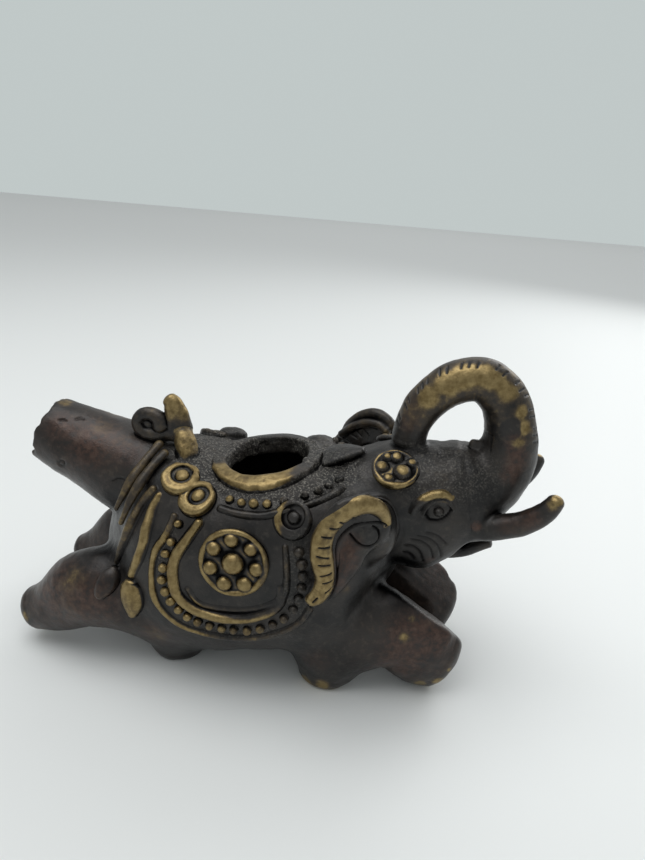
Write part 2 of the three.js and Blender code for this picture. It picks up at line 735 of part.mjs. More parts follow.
const stub = limb(STUB_STATIONS, { sides: 9, rings: 9 });
addMesh("knot_curl", cutBy(curl, hornClear, tubeClear), DARK);
addMesh("knot_horn", cutBy(hornLimb(0), bodyClear, tubeClear), GOLDEN);
addMesh("knot_stub", cutBy(stub, hornClear, bodyClear, tubeClear, mouthRimClear), GOLDEN);

// The middle of the whole stands on the origin.
const extent = new THREE.Box3().setFromObject(dropper);
const shift = extent.getCenter(new THREE.Vector3()).setZ(extent.min.z).negate();
for (const mesh of dropper.children) mesh.geometry.translate(shift.x, shift.y, shift.z);

export default dropper;
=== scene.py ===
import json

import bpy
import numpy as np
from mathutils import Matrix, Vector


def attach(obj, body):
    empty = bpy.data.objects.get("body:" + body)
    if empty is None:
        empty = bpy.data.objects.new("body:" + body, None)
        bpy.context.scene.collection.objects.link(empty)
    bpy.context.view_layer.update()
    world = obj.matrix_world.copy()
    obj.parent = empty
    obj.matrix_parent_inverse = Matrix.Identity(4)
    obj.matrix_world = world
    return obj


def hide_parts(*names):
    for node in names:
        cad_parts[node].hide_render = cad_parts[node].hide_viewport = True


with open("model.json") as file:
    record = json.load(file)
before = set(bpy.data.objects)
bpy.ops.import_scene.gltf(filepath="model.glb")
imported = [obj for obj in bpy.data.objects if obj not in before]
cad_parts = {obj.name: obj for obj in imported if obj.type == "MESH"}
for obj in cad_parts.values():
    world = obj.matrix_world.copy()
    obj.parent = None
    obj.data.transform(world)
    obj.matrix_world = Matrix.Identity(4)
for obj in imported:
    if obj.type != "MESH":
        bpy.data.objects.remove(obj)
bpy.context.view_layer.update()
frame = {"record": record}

# The casting is modelled as distance fields in millimetres, and each named piece is skinned
# from them. SHIFT takes the fields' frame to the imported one.
SHIFT = np.array((-1.1674, 0, 0))
COARSER = 1.0
REACH = 9.0  # how far round a main form its field is worked out
X, Y, Z = 0, 1, 2


# Fields: a field takes points as rows and gives a distance for each, negative inside

def smin(a, b, k):
    h = np.maximum(k - np.abs(a - b), 0) / k
    return np.minimum(a, b) - h * h * (k / 4)


def smax(a, b, k):
    return -smin(-a, -b, k)


def norm(q):
    return np.sqrt((q * q).sum(-1))


def unit(v):
    v = np.asarray(v, float)
    return v / np.sqrt((v * v).sum(-1, keepdims=True))


def smooth(x, low, high):
    t = np.clip((x - low) / (high - low), 0, 1)
    return t * t * (3 - 2 * t)


def spline(points, count, trim=(0, 0)):
    """Centripetal Catmull-Rom through rows whose first three numbers are a place, evenly spaced."""
    p = np.array(points, float)
    p = np.vstack([2 * p[0] - p[1], p, 2 * p[-1] - p[-2]])
    dt = np.maximum(norm(np.diff(p[:, :3], axis=0)) ** 0.5, 1e-3)[:, None]
    rows = []
    for i in range(1, len(p) - 2):
        d0, d1, d2 = dt[i - 1], dt[i], dt[i + 1]
        m0 = ((p[i] - p[i - 1]) / d0 - (p[i + 1] - p[i - 1]) / (d0 + d1) + (p[i + 1] - p[i]) / d1) * d1
        m1 = ((p[i + 1] - p[i]) / d1 - (p[i + 2] - p[i]) / (d1 + d2) + (p[i + 2] - p[i + 1]) / d2) * d1
        t = np.linspace(0, 1, 24, endpoint=i == len(p) - 3)[:, None]
        rows.append((2 * t**3 - 3 * t**2 + 1) * p[i] + (t**3 - 2 * t**2 + t) * m0
                    + (3 * t**2 - 2 * t**3) * p[i + 1] + (t**3 - t**2) * m1)
    rows = np.vstack(rows)
    along = np.append(0, np.cumsum(norm(np.diff(rows[:, :3], axis=0))))
    wanted = np.linspace(trim[0], along[-1] - trim[1], count)
    return np.stack([np.interp(wanted, along, rows[:, k]) for k in range(rows.shape[1])], 1)


class Form:
    """A field with the box that holds it. Beyond the box's margin it only says that it is far."""

    def __init__(self, field, low, high, margin=REACH):
        self.field, self.margin = field, float(margin)
        self.low, self.high = np.array(low, float), np.array(high, float)

    def __call__(self, points):
        low, high = self.low - self.margin, self.high + self.margin
        near = ((points >= low) & (points <= high)).all(1)
        out = np.full(len(points), self.margin)
        if near.any():
            out[near] = self.field(points[near])
        return out

    def paired(self):
        """The form on the right and its mirror image on the left."""
        reach = np.maximum(np.abs(self.low[1]), np.abs(self.high[1]))
        low, high = self.low.copy(), self.high.copy()
        low[1], high[1] = -reach, reach
        return Form(lambda p: self.field(right_side(p)), low, high, self.margin)

    def mirrored(self):
        flip = np.array((1, -1, 1))
        low, high = self.low * flip, self.high * flip
        return Form(lambda p: self.field(p * flip), np.minimum(low, high), np.maximum(low, high), self.margin)

    def shaped(self, change):
        return Form(lambda p: change(self.field(p), p), self.low, self.high, self.margin)


def right_side(points):
    return np.stack([points[:, 0], -np.abs(points[:, 1]), points[:, 2]], 1)


class Path:
    """A fine line through stations, with a frame and the sizes that change along it."""

    def __init__(self, rows, segments, trim, beside=(0, 1.0, 0)):
        path = spline(rows, segments + 1, trim)
        self.segments = segments
        self.centre, self.sizes = path[:, :3], path[:, 3:5]
        self.forward = unit(np.gradient(self.centre, axis=0))
        beside = np.broadcast_to(beside, self.centre.shape)
        self.beside = unit(beside - self.forward * (beside * self.forward).sum(1)[:, None])
        self.over = np.cross(self.forward, self.beside)

    def nearest(self, p):
        """The segment that each point is nearest to, the share along it, and the distance squared."""
        a, run = (self.centre[:-1] - self.centre[0]).astype("f4"), np.diff(self.centre, axis=0).astype("f4")
        length = (run * run).sum(1)
        q = (p - self.centre[0]).astype("f4")
        s = q @ run.T - (a * run).sum(1)
        t = np.clip(s / length, 0, 1)
        gap = t * (t * length - 2 * s) - 2 * (q @ a.T) + (a * a).sum(1)
        best = gap.argmin(1)
        place = best + t[np.arange(len(p)), best].astype(float)
        stride = np.sqrt(length.mean())
        for _ in range(2):
            i = np.minimum(place.astype(int), self.segments - 1)
            ahead = (p - self.at(self.centre, i, place - i)) * self.at(self.forward, i, place - i)
            place = np.clip(place + np.clip(ahead.sum(1) / stride, -0.4, 0.4), 0, self.segments)
        i = np.minimum(place.astype(int), self.segments - 1)
        off = p - self.at(self.centre, i, place - i)
        return i, place - i, (off * off).sum(1)

    def at(self, rows, i, t):
        return rows[i] * (1 - t[:, None]) + rows[i + 1] * t[:, None]


def sweep(stations, segments=24, cap=None, across=(0, 1.0, 0), margin=REACH):
    """Ellipses along a curve: a station is x, y, z, half width across, half width over."""
    rows = np.array([(*s, s[-1]) if len(s) == 4 else tuple(s) for s in stations], float)
    cap = cap or (min(rows[0, 3:5]), min(rows[-1, 3:5]))
    path = Path(rows, segments, cap, across)

    def field(p):
        i, t, _ = path.nearest(p)
        q = p - path.at(path.centre, i, t)
        wide, high = path.at(path.sizes, i, t).T
        x = (q * path.at(path.forward, i, t)).sum(1)
        place = i + t
        beyond = ((place <= 0) & (x < 0)) | ((place >= segments) & (x > 0))
        end = np.where(place <= 0, cap[0], cap[1])
        a = (q * path.at(path.beside, i, t)).sum(1) / wide
        b = (q * path.at(path.over, i, t)).sum(1) / high
        c = np.where(beyond, x / end, 0)
        k0 = np.sqrt(a * a + b * b + c * c)
        k1 = np.sqrt((a / wide) ** 2 + (b / high) ** 2 + (c / end) ** 2)
        return k0 * (k0 - 1) / np.maximum(k1, 1e-6)

    reach = path.sizes.max()
    form = Form(field, path.centre.min(0) - reach, path.centre.max(0) + reach, margin)
    form.path = path
    return form


def wire(points, radius, segments=24, margin=2.5):
    """A round wire through points, its radius one number or one for each point."""
    radii = np.broadcast_to(radius, len(points))
    path = Path([(*p[:3], r, r) for p, r in zip(points, radii)], segments, (0, 0), (0.3, 0.8, 0.5))

    def field(p):
        i, t, gap = path.nearest(p)
        return np.sqrt(gap) - path.at(path.sizes, i, t)[:, 0]

    reach = max(radii)
    return Form(field, path.centre.min(0) - reach, path.centre.max(0) + reach, margin)


def egg(centre, radii, axis=None, margin=3.0):
    """An ellipsoid, its third radius along the axis."""
    centre, radii = np.array(centre, float), np.array(radii, float)
    turn = np.eye(3)
    if axis is not None:
        w = unit(axis)
        u = unit(np.cross(w, (0, 1, 0.01)) if abs(w[1]) < 0.9 else np.cross(w, (1, 0, 0)))
        turn = np.stack([u, np.cross(w, u), w], 1)

    def field(p):
        q = (p - centre) @ turn / radii
        k0 = norm(q)
        return k0 * (k0 - 1) / np.maximum(norm(q / radii), 1e-6)

    return Form(field, centre - radii.max(), centre + radii.max(), margin)


def cone(a, b, r0, r1, end=None):
    a, b = np.array(a, float), np.array(b, float)
    length = norm(b - a)
    f = (b - a) / length

    def field(p):
        q = p - a
        x = q @ f
        r = norm(q - x[:, None] * f) - (r0 + (r1 - r0) * x / length)
        stop = x - length if end is None else x - length - end(p)
        return smax(smax(r, stop, 0.7), -x, 0.8)

    reach = max(r0, r1) + 1
    return Form(field, np.minimum(a, b) - reach, np.maximum(a, b) + reach)


def disc(centre, axis, radius, height, soft=0.4):
    axis = unit(axis)

    def field(p):
        q = p - centre
        x = q @ axis
        r = norm(q - x[:, None] * axis)
        return smax(r - radius, np.abs(x) - height, soft)

    return Form(field, centre - radius - height, centre + radius + height, 2.5)


def ring(centre, axis, radius, wire_radius):
    axis = unit(axis)

    def field(p):
        q = p - centre
        x = q @ axis
        r = norm(q - x[:, None] * axis) - radius
        return np.sqrt(r * r + x * x) - wire_radius

    return Form(field, centre - radius - wire_radius, centre + radius + wire_radius, 2.5)


def union(forms, k):
    forms = list(forms)

    def field(p):
        out = forms[0](p)
        for form in forms[1:]:
            out = smin(out, form(p), k)
        return out

    low = np.min([f.low for f in forms], axis=0)
    high = np.max([f.high for f in forms], axis=0)
    return Form(field, low, high, min(f.margin for f in forms))


CORNERS = np.array([(1, 1, 1), (1, -1, -1), (-1, 1, -1), (-1, -1, 1)], float)  # of a tetrahedron


def slope(field, p, eps=0.12):
    return unit(sum(e * field(p + eps * e)[:, None] for e in CORNERS))


def bend(field, p, d, reach):
    """The field's curvature at points, from four more at this distance."""
    step = reach / 3**0.5
    return (sum(field(p + step * e) for e in CORNERS) - 4 * d) / (2 * step * step)


# Noise on a lattice, the same each run

def lattice(i):
    n = (i[:, 0] * 73856093) ^ (i[:, 1] * 19349663) ^ (i[:, 2] * 83492791)
    n = (n ^ (n >> 13)) * 1274126177
    return ((n ^ (n >> 16)) & 0xFFFF) / 65535.0


def noise(p, size, seed=0):
    q = p / size + 1000 + seed
    i = np.floor(q).astype(np.int64)
    f = q - i
    f = f * f * (3 - 2 * f)
    out = np.zeros(len(p))
    for corner in np.ndindex(2, 2, 2):
        c = np.array(corner)
        out += lattice(i + c) * np.prod(np.where(c, f, 1 - f), axis=1)
    return out


# The camera of the photograph: its place, its axes, and its frame and focal length in pixels

EYE = np.array((24.95, -134.91, 110.5))
RIGHT = np.array((0.9876, 0.1392, 0.0732))
UP = np.array((-0.118, 0.3479, 0.9301))
AHEAD = np.array((-0.104, 0.9271, -0.36))
WIDTH, HEIGHT, FOCAL = 645, 860, 640


def rays(pixels):
    """The directions in which the photograph's pixels are seen."""
    px = np.array(pixels, float)[:, :2]
    across = (px[:, :1] - WIDTH / 2) / FOCAL
    down = (px[:, 1:2] - HEIGHT / 2) / FOCAL
    return unit(AHEAD + RIGHT * across - UP * down)


def meet(pixels, place, normal):
    """Where the photograph's pixels meet a plane."""
    ray = rays(pixels)
    normal = np.array(normal, float)
    far = ((np.asarray(place, float) - EYE) * normal).sum(-1) / (ray @ normal)
    return EYE + ray * np.reshape(far, (-1, 1))


# The body's barrel: its middle, how far its front is tipped up, and half its length, width and height

BODY = np.array((-5, 0, 27.3))
TILT = np.radians(11)
HALF = np.array((37, 24, 22.6))
BARREL_REACH = (42, 25, 28)
TURN = np.array(((np.cos(TILT), 0, -np.sin(TILT)), (0, 1, 0), (np.sin(TILT), 0, np.cos(TILT))))


def barrel(grow=0.0):
    size = HALF + grow

    def field(p):
        q = (p - BODY) @ TURN / size
        a = np.abs(q)
        c = np.maximum(np.cbrt(a[:, 1] ** 3 + a[:, 2] ** 3), 1e-4)
        g = np.stack([3 * a[:, 0] ** 2, 2 * a[:, 1] ** 2 / c, 2 * a[:, 2] ** 2 / c], 1) / size
        return (a[:, 0] ** 3 + c * c - 1) / np.maximum(norm(g), 0.02)

    return Form(field, BODY - BARREL_REACH, BODY + BARREL_REACH, 12)


def on_body(x, y, z):
    """The place on the barrel abreast of a point."""
    q = (np.array((x, y, z), float) - BODY) @ TURN / HALF
    reach = np.sqrt(1 - abs(q[0]) ** 3) / np.cbrt(abs(q[1]) ** 3 + abs(q[2]) ** 3)
    return BODY + TURN @ (q * (1, reach, reach) * HALF)


# The cast forms, on the right side where there are two

MOUTH = on_body(-1.9, -0.001, 50)
MOUTH[1] = -2.2
MOUTH_UP = unit((-np.sin(TILT), 0, np.cos(TILT)))
MOUTH_AHEAD = np.array((np.cos(TILT), 0, np.sin(TILT)))
MOUTH_HALF = np.array((9.4, 10.4))
TUBE_ROOT, TUBE_END = np.array((-30, 0, 40.3)), np.array((-57, 0, 50.8))
TUBE_ALONG = unit(TUBE_END - TUBE_ROOT)


def past_mouth(p):
    """How far a point is outside the edge of the mouth, seen along the bore."""
    q = p - MOUTH
    r = np.sqrt((q @ MOUTH_AHEAD / MOUTH_HALF[0]) ** 2 + (q[:, 1] / MOUTH_HALF[1]) ** 2)
    return (r - 1) * MOUTH_HALF.mean()


def broken(p):
    """How far the tube's broken end stands past its mean length."""
    return (noise(p, 2.6, 4) - 0.5) * 1.7 + (noise(p, 1.1, 8) - 0.5) * 0.6 - 0.7


back = egg((-19.5, 0, 43), (12.5, 16, 7.6), (0.25, 0, 1), REACH)
tube = cone(TUBE_ROOT - TUBE_ALONG * 16, TUBE_END, 14.3, 7.75, broken)


def shell_cut(d, p):
    """The barrel's corners at the rump and the chest are rounded off."""
    q = right_side(p)
    rump = (q - (-35.5, -12, 31)) @ unit((-0.8, -0.55, 0.1))
    chest = (q - (24.3, -15, 29)) @ unit((0.85, -0.45, -0.3))
    return smax(smax(d, rump, 3), chest, 3)


JAW_FRONT, JAW_LOW, JAW_SLOPE = 40.6, 34.1, 1.2


def cheek_cut(d, p):
    """The upper jaw ends along a line that rises to the tusks, over the lower lip."""
    palate = JAW_LOW - 4 * smooth(np.abs(p[:, Y]), 5.5, 3)
    below = (JAW_SLOPE * (p[:, X] - JAW_FRONT) - (p[:, Z] - palate)) / 1.56
    return smax(d, below, 0.8)


shell = barrel().shaped(shell_cut)
head = sweep([(17, 0, 38, 11.5, 12.4), (23, 0, 41.8, 12.8, 13), (30, 0, 44.5, 12.6, 13.1),
              (38.5, 0, 44.8, 12, 13.5), (44.5, 0, 45.8, 10, 13.3), (49, 0, 47.5, 7.2, 9)], 20, (5, 5))
head = head.shaped(cheek_cut)
cheek = egg((34.5, -6.8, 37.4), (7, 5.4, 6.6), margin=REACH).paired().shaped(cheek_cut)
burr = egg((43.2, -0.8, 59.3), (0.6, 0.6, 0.8))
trunk = sweep([(44, 0, 45.5, 8, 8), (49.3, 0, 51.8, 7, 7), (51.4, 0, 58.5, 6, 6), (50.6, 0, 65, 5.4, 5.4),
               (48, 0, 70.6, 5, 5), (43.2, 0, 73.8, 4.7, 4.7), (37.2, 0, 72.4, 4.6, 4.6),
               (32.4, 0, 67.9, 4.4, 4.4), (29.8, 0, 62.3, 4, 4), (29.3, 0, 56.5, 3.8, 3.8)], 44, (4, 2))
tusk = sweep([(43, -6, 40.6, 2.8), (50, -7.9, 43.3, 2.8), (55.5, -9.7, 46.3, 2.5), (59.2, -10.9, 50.2, 2.1),
              (61, -11.2, 54, 1.5)], 20, (2, 1.5))
lip = sweep([(37, 0, 31.9, 3.4, 1.5), (42.2, 0, 32.4, 3.7, 1.8), (45.6, 0, 33.5, 3.5, 2),
             (48.6, 0, 35, 3.2, 1.95), (51.3, 0, 36.4, 2.8, 1.6)], 14, (1.5, 1))
CREST, CREST_FACE = np.array((33.8, -14, 25.6)), unit((0.5, 0.42, 0.75))
foreleg = union([
    sweep([(11, -12.5, 27, 8.4, 8.6), (13.6, -12.6, 16, 8, 8.4), (16, -11.8, 6, 6.8, 7.4),
           (17.2, -11.4, -1.8, 5.6, 6.2)], 12, (5, 5)),
    sweep([(13, -11.8, 5.5, 6.4, 6.8), (19, -11.9, 9.4, 6.8, 8), (26.5, -11.4, 15.4, 7, 10.4),
           (33.4, -10.4, 15, 6.9, 10.6), (40, -9.4, 10, 6.5, 10.4), (46.4, -8.9, 7.6, 5, 6.4)],
          18, (4, 4))], 3.5)
foreleg = foreleg.shaped(lambda d, p: smax(d, (p - CREST) @ CREST_FACE, 1.4))
hindleg = union([
    sweep([(-14, -12.6, 21, 8.6, 9), (-17.6, -11.6, 12, 7.8, 8.4), (-20.4, -10.4, 5, 6.6, 7.2),
           (-21.6, -9.8, -1.6, 5.6, 6)], 12, (5, 5)),
    sweep([(-17, -10.6, 6, 6.4, 6.6), (-22.5, -11.6, 10, 7.4, 7.4), (-29, -12.8, 14.5, 8.2, 8.8),
           (-36, -13.4, 17, 8.4, 10), (-42.6, -13.4, 15.4, 7.8, 9.4), (-50, -12.8, 10, 6.3, 7.2),
           (-58.6, -12.6, 6.2, 4.4, 4.8)], 24, (4, 3.5))], 3)

# An ear is a leaf that stands off its own plane. Its edge and its rim are drawn in the
# photograph's pixels, the rim with its half width in millimetres.

EAR_AT, EAR_ALONG = np.array((13, -26.6, 45)), unit((1, 0.52, 0))
EAR_OUT = np.array((EAR_ALONG[1], -EAR_ALONG[0], 0))
EAR_EDGE = [(303.6, 600.1), (306.5, 604.4), (315, 605.5), (323.5, 603.3), (336.5, 594.7), (347.3, 583.8),
            (358.2, 570.8), (366.8, 555.5), (377.7, 543.5), (387.3, 531.6), (389.5, 518.8), (384.1, 508),
            (375.5, 499.3), (366.8, 496), (353.8, 497.1), (338.6, 502.5), (325.6, 513.4), (317, 525.3),
            (311.5, 538.3), (310.5, 551.3), (312.6, 566.5), (315.9, 581.7), (310.5, 591.4), (303.6, 600.1)]
EAR_RIM = [(386, 524, 0.9), (382.5, 512.5, 1.35), (371.5, 504.6, 1.75), (358.2, 505, 1.95),
           (346.3, 510.4, 2.0), (335.4, 518.4, 2.1), (327.4, 527.2, 2.15), (321.9, 538.4, 2.2),
           (320.4, 551.4, 2.2), (321.9, 564.4, 2.0), (324, 576.3, 1.75), (322.4, 587.1, 1.75),
           (315.9, 595.5, 1.5), (306.5, 600.6, 0.9)]


def ear_rise(p):
    """How far the leaf's top curls off its plane."""
    return 1.8 * smooth(p[:, Z], 47, 56)


def on_ear(*pixels):
    """The places on the ear's leaf that the photograph's pixels show."""
    p = meet(pixels, EAR_AT, EAR_OUT)
    for _ in range(4):
        p = meet(pixels, EAR_AT + EAR_OUT * ear_rise(p)[:, None], EAR_OUT)
    return p


ear_edge = spline(on_ear(*EAR_EDGE), 46)
ear_loop = np.stack([(ear_edge - EAR_AT) @ EAR_ALONG, ear_edge[:, 2]], 1)


def from_loop(s, t, loop):
    """The distance to a closed outline on a plane, negative inside it."""
    a, run = loop[:-1], np.diff(loop, axis=0)
    length = (run * run).sum(1)
    q = np.stack([s, t], 1)
    along = q @ run.T - (a * run).sum(1)
    share = np.clip(along / length, 0, 1)
    gap = (q * q).sum(1)[:, None] - 2 * (q @ a.T) + (a * a).sum(1) + share * (share * length - 2 * along)
    crosses = (a[:, 1] > t[:, None]) != (loop[1:, 1] > t[:, None])
    across = run[:, ::-1] * (1, -1)
    left = q @ across.T < (a * across).sum(1)
    inside = (crosses & (left == (run[:, 1] > 0))).sum(1) % 2 == 1
    return np.sqrt(np.maximum(gap.min(1), 0)) * np.where(inside, -1, 1)


def ear_leaf(p):
    s = (p - EAR_AT) @ EAR_ALONG
    edge = from_loop(s, p[:, 2], ear_loop)
    front = smooth(s, 6, 13)
    rise = (p - EAR_AT) @ EAR_OUT - ear_rise(p)
    hollow = 1.3 * smooth(-edge, 3, 6.5) * (1 - 0.8 * front)
    return smax(np.maximum(rise - 0.9 + hollow, -rise - 1.6 - 1.6 * front), edge, 1.8)


ear = Form(ear_leaf, ear_edge.min(0) - 3.5, ear_edge.max(0) + 3.5, 4)
ear_root = egg((24.6, -15.4, 43), (4.3, 4.3, 6.8), margin=5)
rim_line = on_ear(*EAR_RIM) + EAR_OUT * 0.5
ear_rim = sweep([(*p, 0.55 + 0.4 * w, w) for p, (_, _, w) in zip(rim_line, EAR_RIM)], 34,
                (0.9, 0.9), EAR_OUT, 3)

# The cast forms in the order in which they melt into each other, each with how softly it does
CAST = [
    ("body_shell", shell, 0),
    ("body_shell", back, 4),
    ("head", head, 4),
    ("head", cheek, 3),
    ("head", burr, 0.5),
    ("pouring_tube", tube, 1.2),
    ("hindleg", hindleg.paired(), 3),
    ("foreleg", foreleg.paired(), 3),
    ("trunk", trunk, lambda p: 1.2 + 3 * smooth(p[:, 0], 36, 44)),
    ("lower_lip", lip, 0.5),
    ("tusk", tusk.paired(), 1.0),
    ("ear", ear_root.paired(), 3),
    ("ear", ear.paired(), lambda p: 0.8 + 1.8 * smooth(p[:, 0], 21, 26)),
]
cavity = barrel(-3)
tube_bore = cone(TUBE_ROOT - TUBE_ALONG * 13, TUBE_END + TUBE_ALONG * 8, 5.4, 5.6)


def carved(d, p):
    d = smax(d, -np.maximum(cavity(p), shell(p) + 2.5), 0.6)
    along = (p - MOUTH) @ MOUTH_UP
    d = smax(d, -np.maximum(past_mouth(p), np.abs(along + 2) - 10), 0.9)
    d = smax(d, -tube_bore(p), 0.6)
    return smax(d, -p[:, 2], 0.8)


def cast(p, part=None):
    """The whole casting's field, and with a part's name how far a point is outside its share."""
    d = np.full(len(p), REACH)
    own, rest = np.full(len(p), REACH), np.full(len(p), REACH)
    low, high = p.min(0), p.max(0)
    for name, form, k in CAST:
        if (low > form.high + form.margin).any() or (high < form.low - form.margin).any():
            continue
        raw = form(p)
        d = np.minimum(d, raw) if k == 0 else smin(d, raw, k(p) if callable(k) else k)
        if name == part:
            own = np.minimum(own, raw)
        else:
            rest = np.minimum(rest, raw)
    d = carved(d, p)
    return d if part is None else (d, (own - rest) / 2)


def seen(*pixels):
    """The places on the casting that the photograph's pixels show."""
    ray = rays(pixels)
    p = EYE + ray * 100
    for _ in range(50):
        p = p + ray * (cast(p) * 0.8)[:, None]
    return p


def facing(place, eps=1.8):
    return slope(cast, place[None], eps)[0]


# Skinning

EDGES = [(a, b) for a in range(8) for b in range(a + 1, 8) if bin(a ^ b).count("1") == 1]
CORNER = np.array([[(c >> 2) & 1, (c >> 1) & 1, c & 1] for c in range(8)])


def values(field, points):
    return np.concatenate([field(chunk) for chunk in np.array_split(points, len(points) // 50000 + 1)])


def window(shape, start):
    return tuple(slice(k, k + n) for k, n in zip(start, shape))


def near_surface(field, low, high, step):
    """The grid points of every block of four cells a side that the surface may pass through."""
    block = 4
    blocks = np.ceil((high - low) / step / block).astype(int)
    centres = low + (np.indices(blocks).reshape(3, -1).T + 0.5) * block * step
    near = (np.abs(values(field, centres)) < 4.6 * step + 0.2).reshape(blocks)
    near = near.repeat(block, 0).repeat(block, 1).repeat(block, 2)
    mask = np.zeros(np.array(near.shape) + 1, bool)
    for c in CORNER:
        mask[window(near.shape, c)] |= near
    return mask


def crossings(grid, at):
    """The middle of the places where each cell's edges cross the surface, counted in cells."""
    v = np.stack([grid[tuple((at + c).T)] for c in CORNER], 1)
    total, hits = np.zeros((len(at), 3)), np.zeros((len(at), 1))
    for a, b in EDGES:
        crosses = (v[:, a] < 0) != (v[:, b] < 0)
        t = np.where(crosses, v[:, a] / np.where(crosses, v[:, a] - v[:, b], 1), 0)[:, None]
        total += (CORNER[a] + t * (CORNER[b] - CORNER[a])) * crosses[:, None]
        hits += crosses[:, None]
    return at + total / hits


def faces(inside, ids):
    """A quad of cells round each of the grid's lines that crosses the surface."""
    quads = []
    for axis in range(3):
        e, s, t = np.roll(np.eye(3, dtype=int), -axis, 0)
        shape = np.array(inside.shape) - e
        first, second = inside[window(shape, 0 * e)], inside[window(shape, e)]
        for change, flip in ((first > second, False), (first < second, True)):
            node = np.argwhere(change)
            node = node[((node - s - t) >= 0).all(1) & (node < ids.shape).all(1)]
            quad = [ids[tuple((node + o).T)] for o in (-s - t, -t, 0 * s, -s)]
            quad = np.stack(quad[::-1] if flip else quad, 1)
            quads.append(quad[(quad >= 0).all(1)])
    return np.vstack(quads)


def skin(field, low, high, step):
    """A closed mesh of quads round the field's inside: its points and its faces."""
    low = np.array(low, float) - 2 * step
    mask = near_surface(field, low, np.array(high) + 2 * step, step)
    grid = np.full(mask.shape, np.nan)
    grid[mask] = values(field, low + np.argwhere(mask) * step)
    inside, known = (grid < 0).astype(np.int8), mask.astype(np.int8)
    cell_grid = np.array(grid.shape) - 1
    count = sum(inside[window(cell_grid, c)] for c in CORNER)
    whole = sum(known[window(cell_grid, c)] for c in CORNER) == len(CORNER)
    cells = (count > 0) & (count < len(CORNER)) & whole
    ids = np.full(cells.shape, -1)
    ids[cells] = np.arange(cells.sum())
    points = low + crossings(grid, np.argwhere(cells)) * step
    off = np.clip(values(field, points), -step / 2, step / 2)
    points = points - values(lambda p: slope(field, p), points) * off[:, None]
    return points, faces(inside, ids)


# Lines that the tool cut, in the photograph's pixels

EAR_HATCHES = [
    [(349.5, 514.4), (357.1, 516.4)], [(336.9, 518.3), (345.1, 522)], [(327.3, 524.6), (339.1, 525.8)],
    [(318.9, 533.1), (330, 534.4)], [(315.9, 543.7), (326.9, 543.1)], [(314.1, 552.2), (325.6, 553.5)],
    [(315.9, 561), (326.9, 560.4)], [(318, 571.9), (328.2, 568.6)], [(320.2, 579), (329, 576.2)],
    [(322.5, 588), (329.3, 583.2)], [(310.5, 597.8), (314.8, 593.6)]]
EAR_GROOVES = [
    [(384, 524), (382, 521.5), (375.5, 520.3), (364.6, 521.9), (353.7, 526.8), (344.6, 534.9),
     (337.6, 545), (335.6, 556), (335.9, 566.5), (335.4, 576.6), (332.6, 586.8), (328.3, 596), (324, 602)],
    [(350.6, 535), (354.9, 540), (363.6, 544.3), (371.2, 543.7), (376.2, 539.4), (377.8, 532.9),
     (375.8, 527.2), (371.2, 524.6)]]
CHEEK_LINES = [
    [(405, 545), (413, 546), (420, 552), (423, 561)], [(411, 539), (421, 541), (430, 548), (433, 558)],
    [(418, 535.5), (429, 538.5), (438, 546), (441, 556)], [(404, 552), (410, 553.5), (414, 558.5)],
    [(427, 532), (437, 535.5), (446, 543)]]
EYE_SOCKET = [[(426.5, 515.5), (429.5, 508), (438, 503.2), (447, 504.8), (451, 511), (444, 518.5),
               (436, 520.5), (429, 519.5), (426.5, 515.5)]]
TUBE_MARKS = [
    [(59, 420.5), (62, 419.6), (65, 420.4)],
    [(59, 463), (61.5, 460.5), (64.5, 462), (63, 465.5), (59.5, 465)],
    [(112, 481), (118, 478.5), (124, 480)], [(76, 419), (81, 417.5), (84, 419)]]


def grooves(lines, place, half):
    """Wires along lines that are drawn in pixels, laid on the casting."""
    flat = place(*[px for line in lines for px in line])
    cuts = np.cumsum([len(line) for line in lines])[:-1]
    return [wire(line, half, 4 * len(line), 1.0) for line in np.split(flat, cuts)]


def trunk_nicks():
    """Short strokes across the trunk's outer side, one after another along it."""
    path, middle = trunk.path, np.array((41, 0, 63))
    out = []
    for i in range(22):
        at = int(12 + i * 1.4)
        f = path.forward[at]
        o = unit((path.centre[at] - middle) - f * ((path.centre[at] - middle) @ f))
        turns = np.radians((14, 24, 34)) + 0.2 * lattice(np.array([[i, 3, 7]]))[0]
        r = path.sizes[at][0]
        line = [path.centre[at] + r * (np.cos(a) * o + np.sin(a) * np.array((0, -1, 0))) + f * 0.25 * k
                for k, a in enumerate(turns)]
        out.append(wire(line, 0.22, 6, 1.0))
    return out


def onto_ear(q):
    """Points within 3.5 mm of the ear's leaf are laid on it; the others stay."""
    off = (q - EAR_AT) @ EAR_OUT - ear_rise(q)
    return q - EAR_OUT * np.where(np.abs(off) < 3.5, off, 0)[:, None]


# Each row: depth, wires, and where a surface point is held to lie
STROKES = [
    (0.5, grooves(EAR_HATCHES, on_ear, 0.12), onto_ear),
    (0.5, grooves(EAR_GROOVES, on_ear, 0.2), onto_ear),
    (0.28, grooves(CHEEK_LINES, seen, 0.3), None),
    (0.4, grooves(EYE_SOCKET, seen, 0.4), None),
    (0.3, grooves(TUBE_MARKS, seen, 0.3), None),
    (0.28, trunk_nicks(), None),
]


def stroke_depth(q):
    """How deep the tool's lines are at points on the right side."""
    out = np.zeros(len(q))
    for depth, wires, laid_on in STROKES:
        near = laid_on(q) if laid_on else q
        for w in wires:
            out = np.maximum(out, depth * (1 - smooth(w(near), -0.22, 0.2)))
    return out


def spot(p, centre, size, edge=1.0):
    return 1 - smooth(norm((p - centre) / size), 1 - 0.5 * edge, 1 + 0.5 * edge)


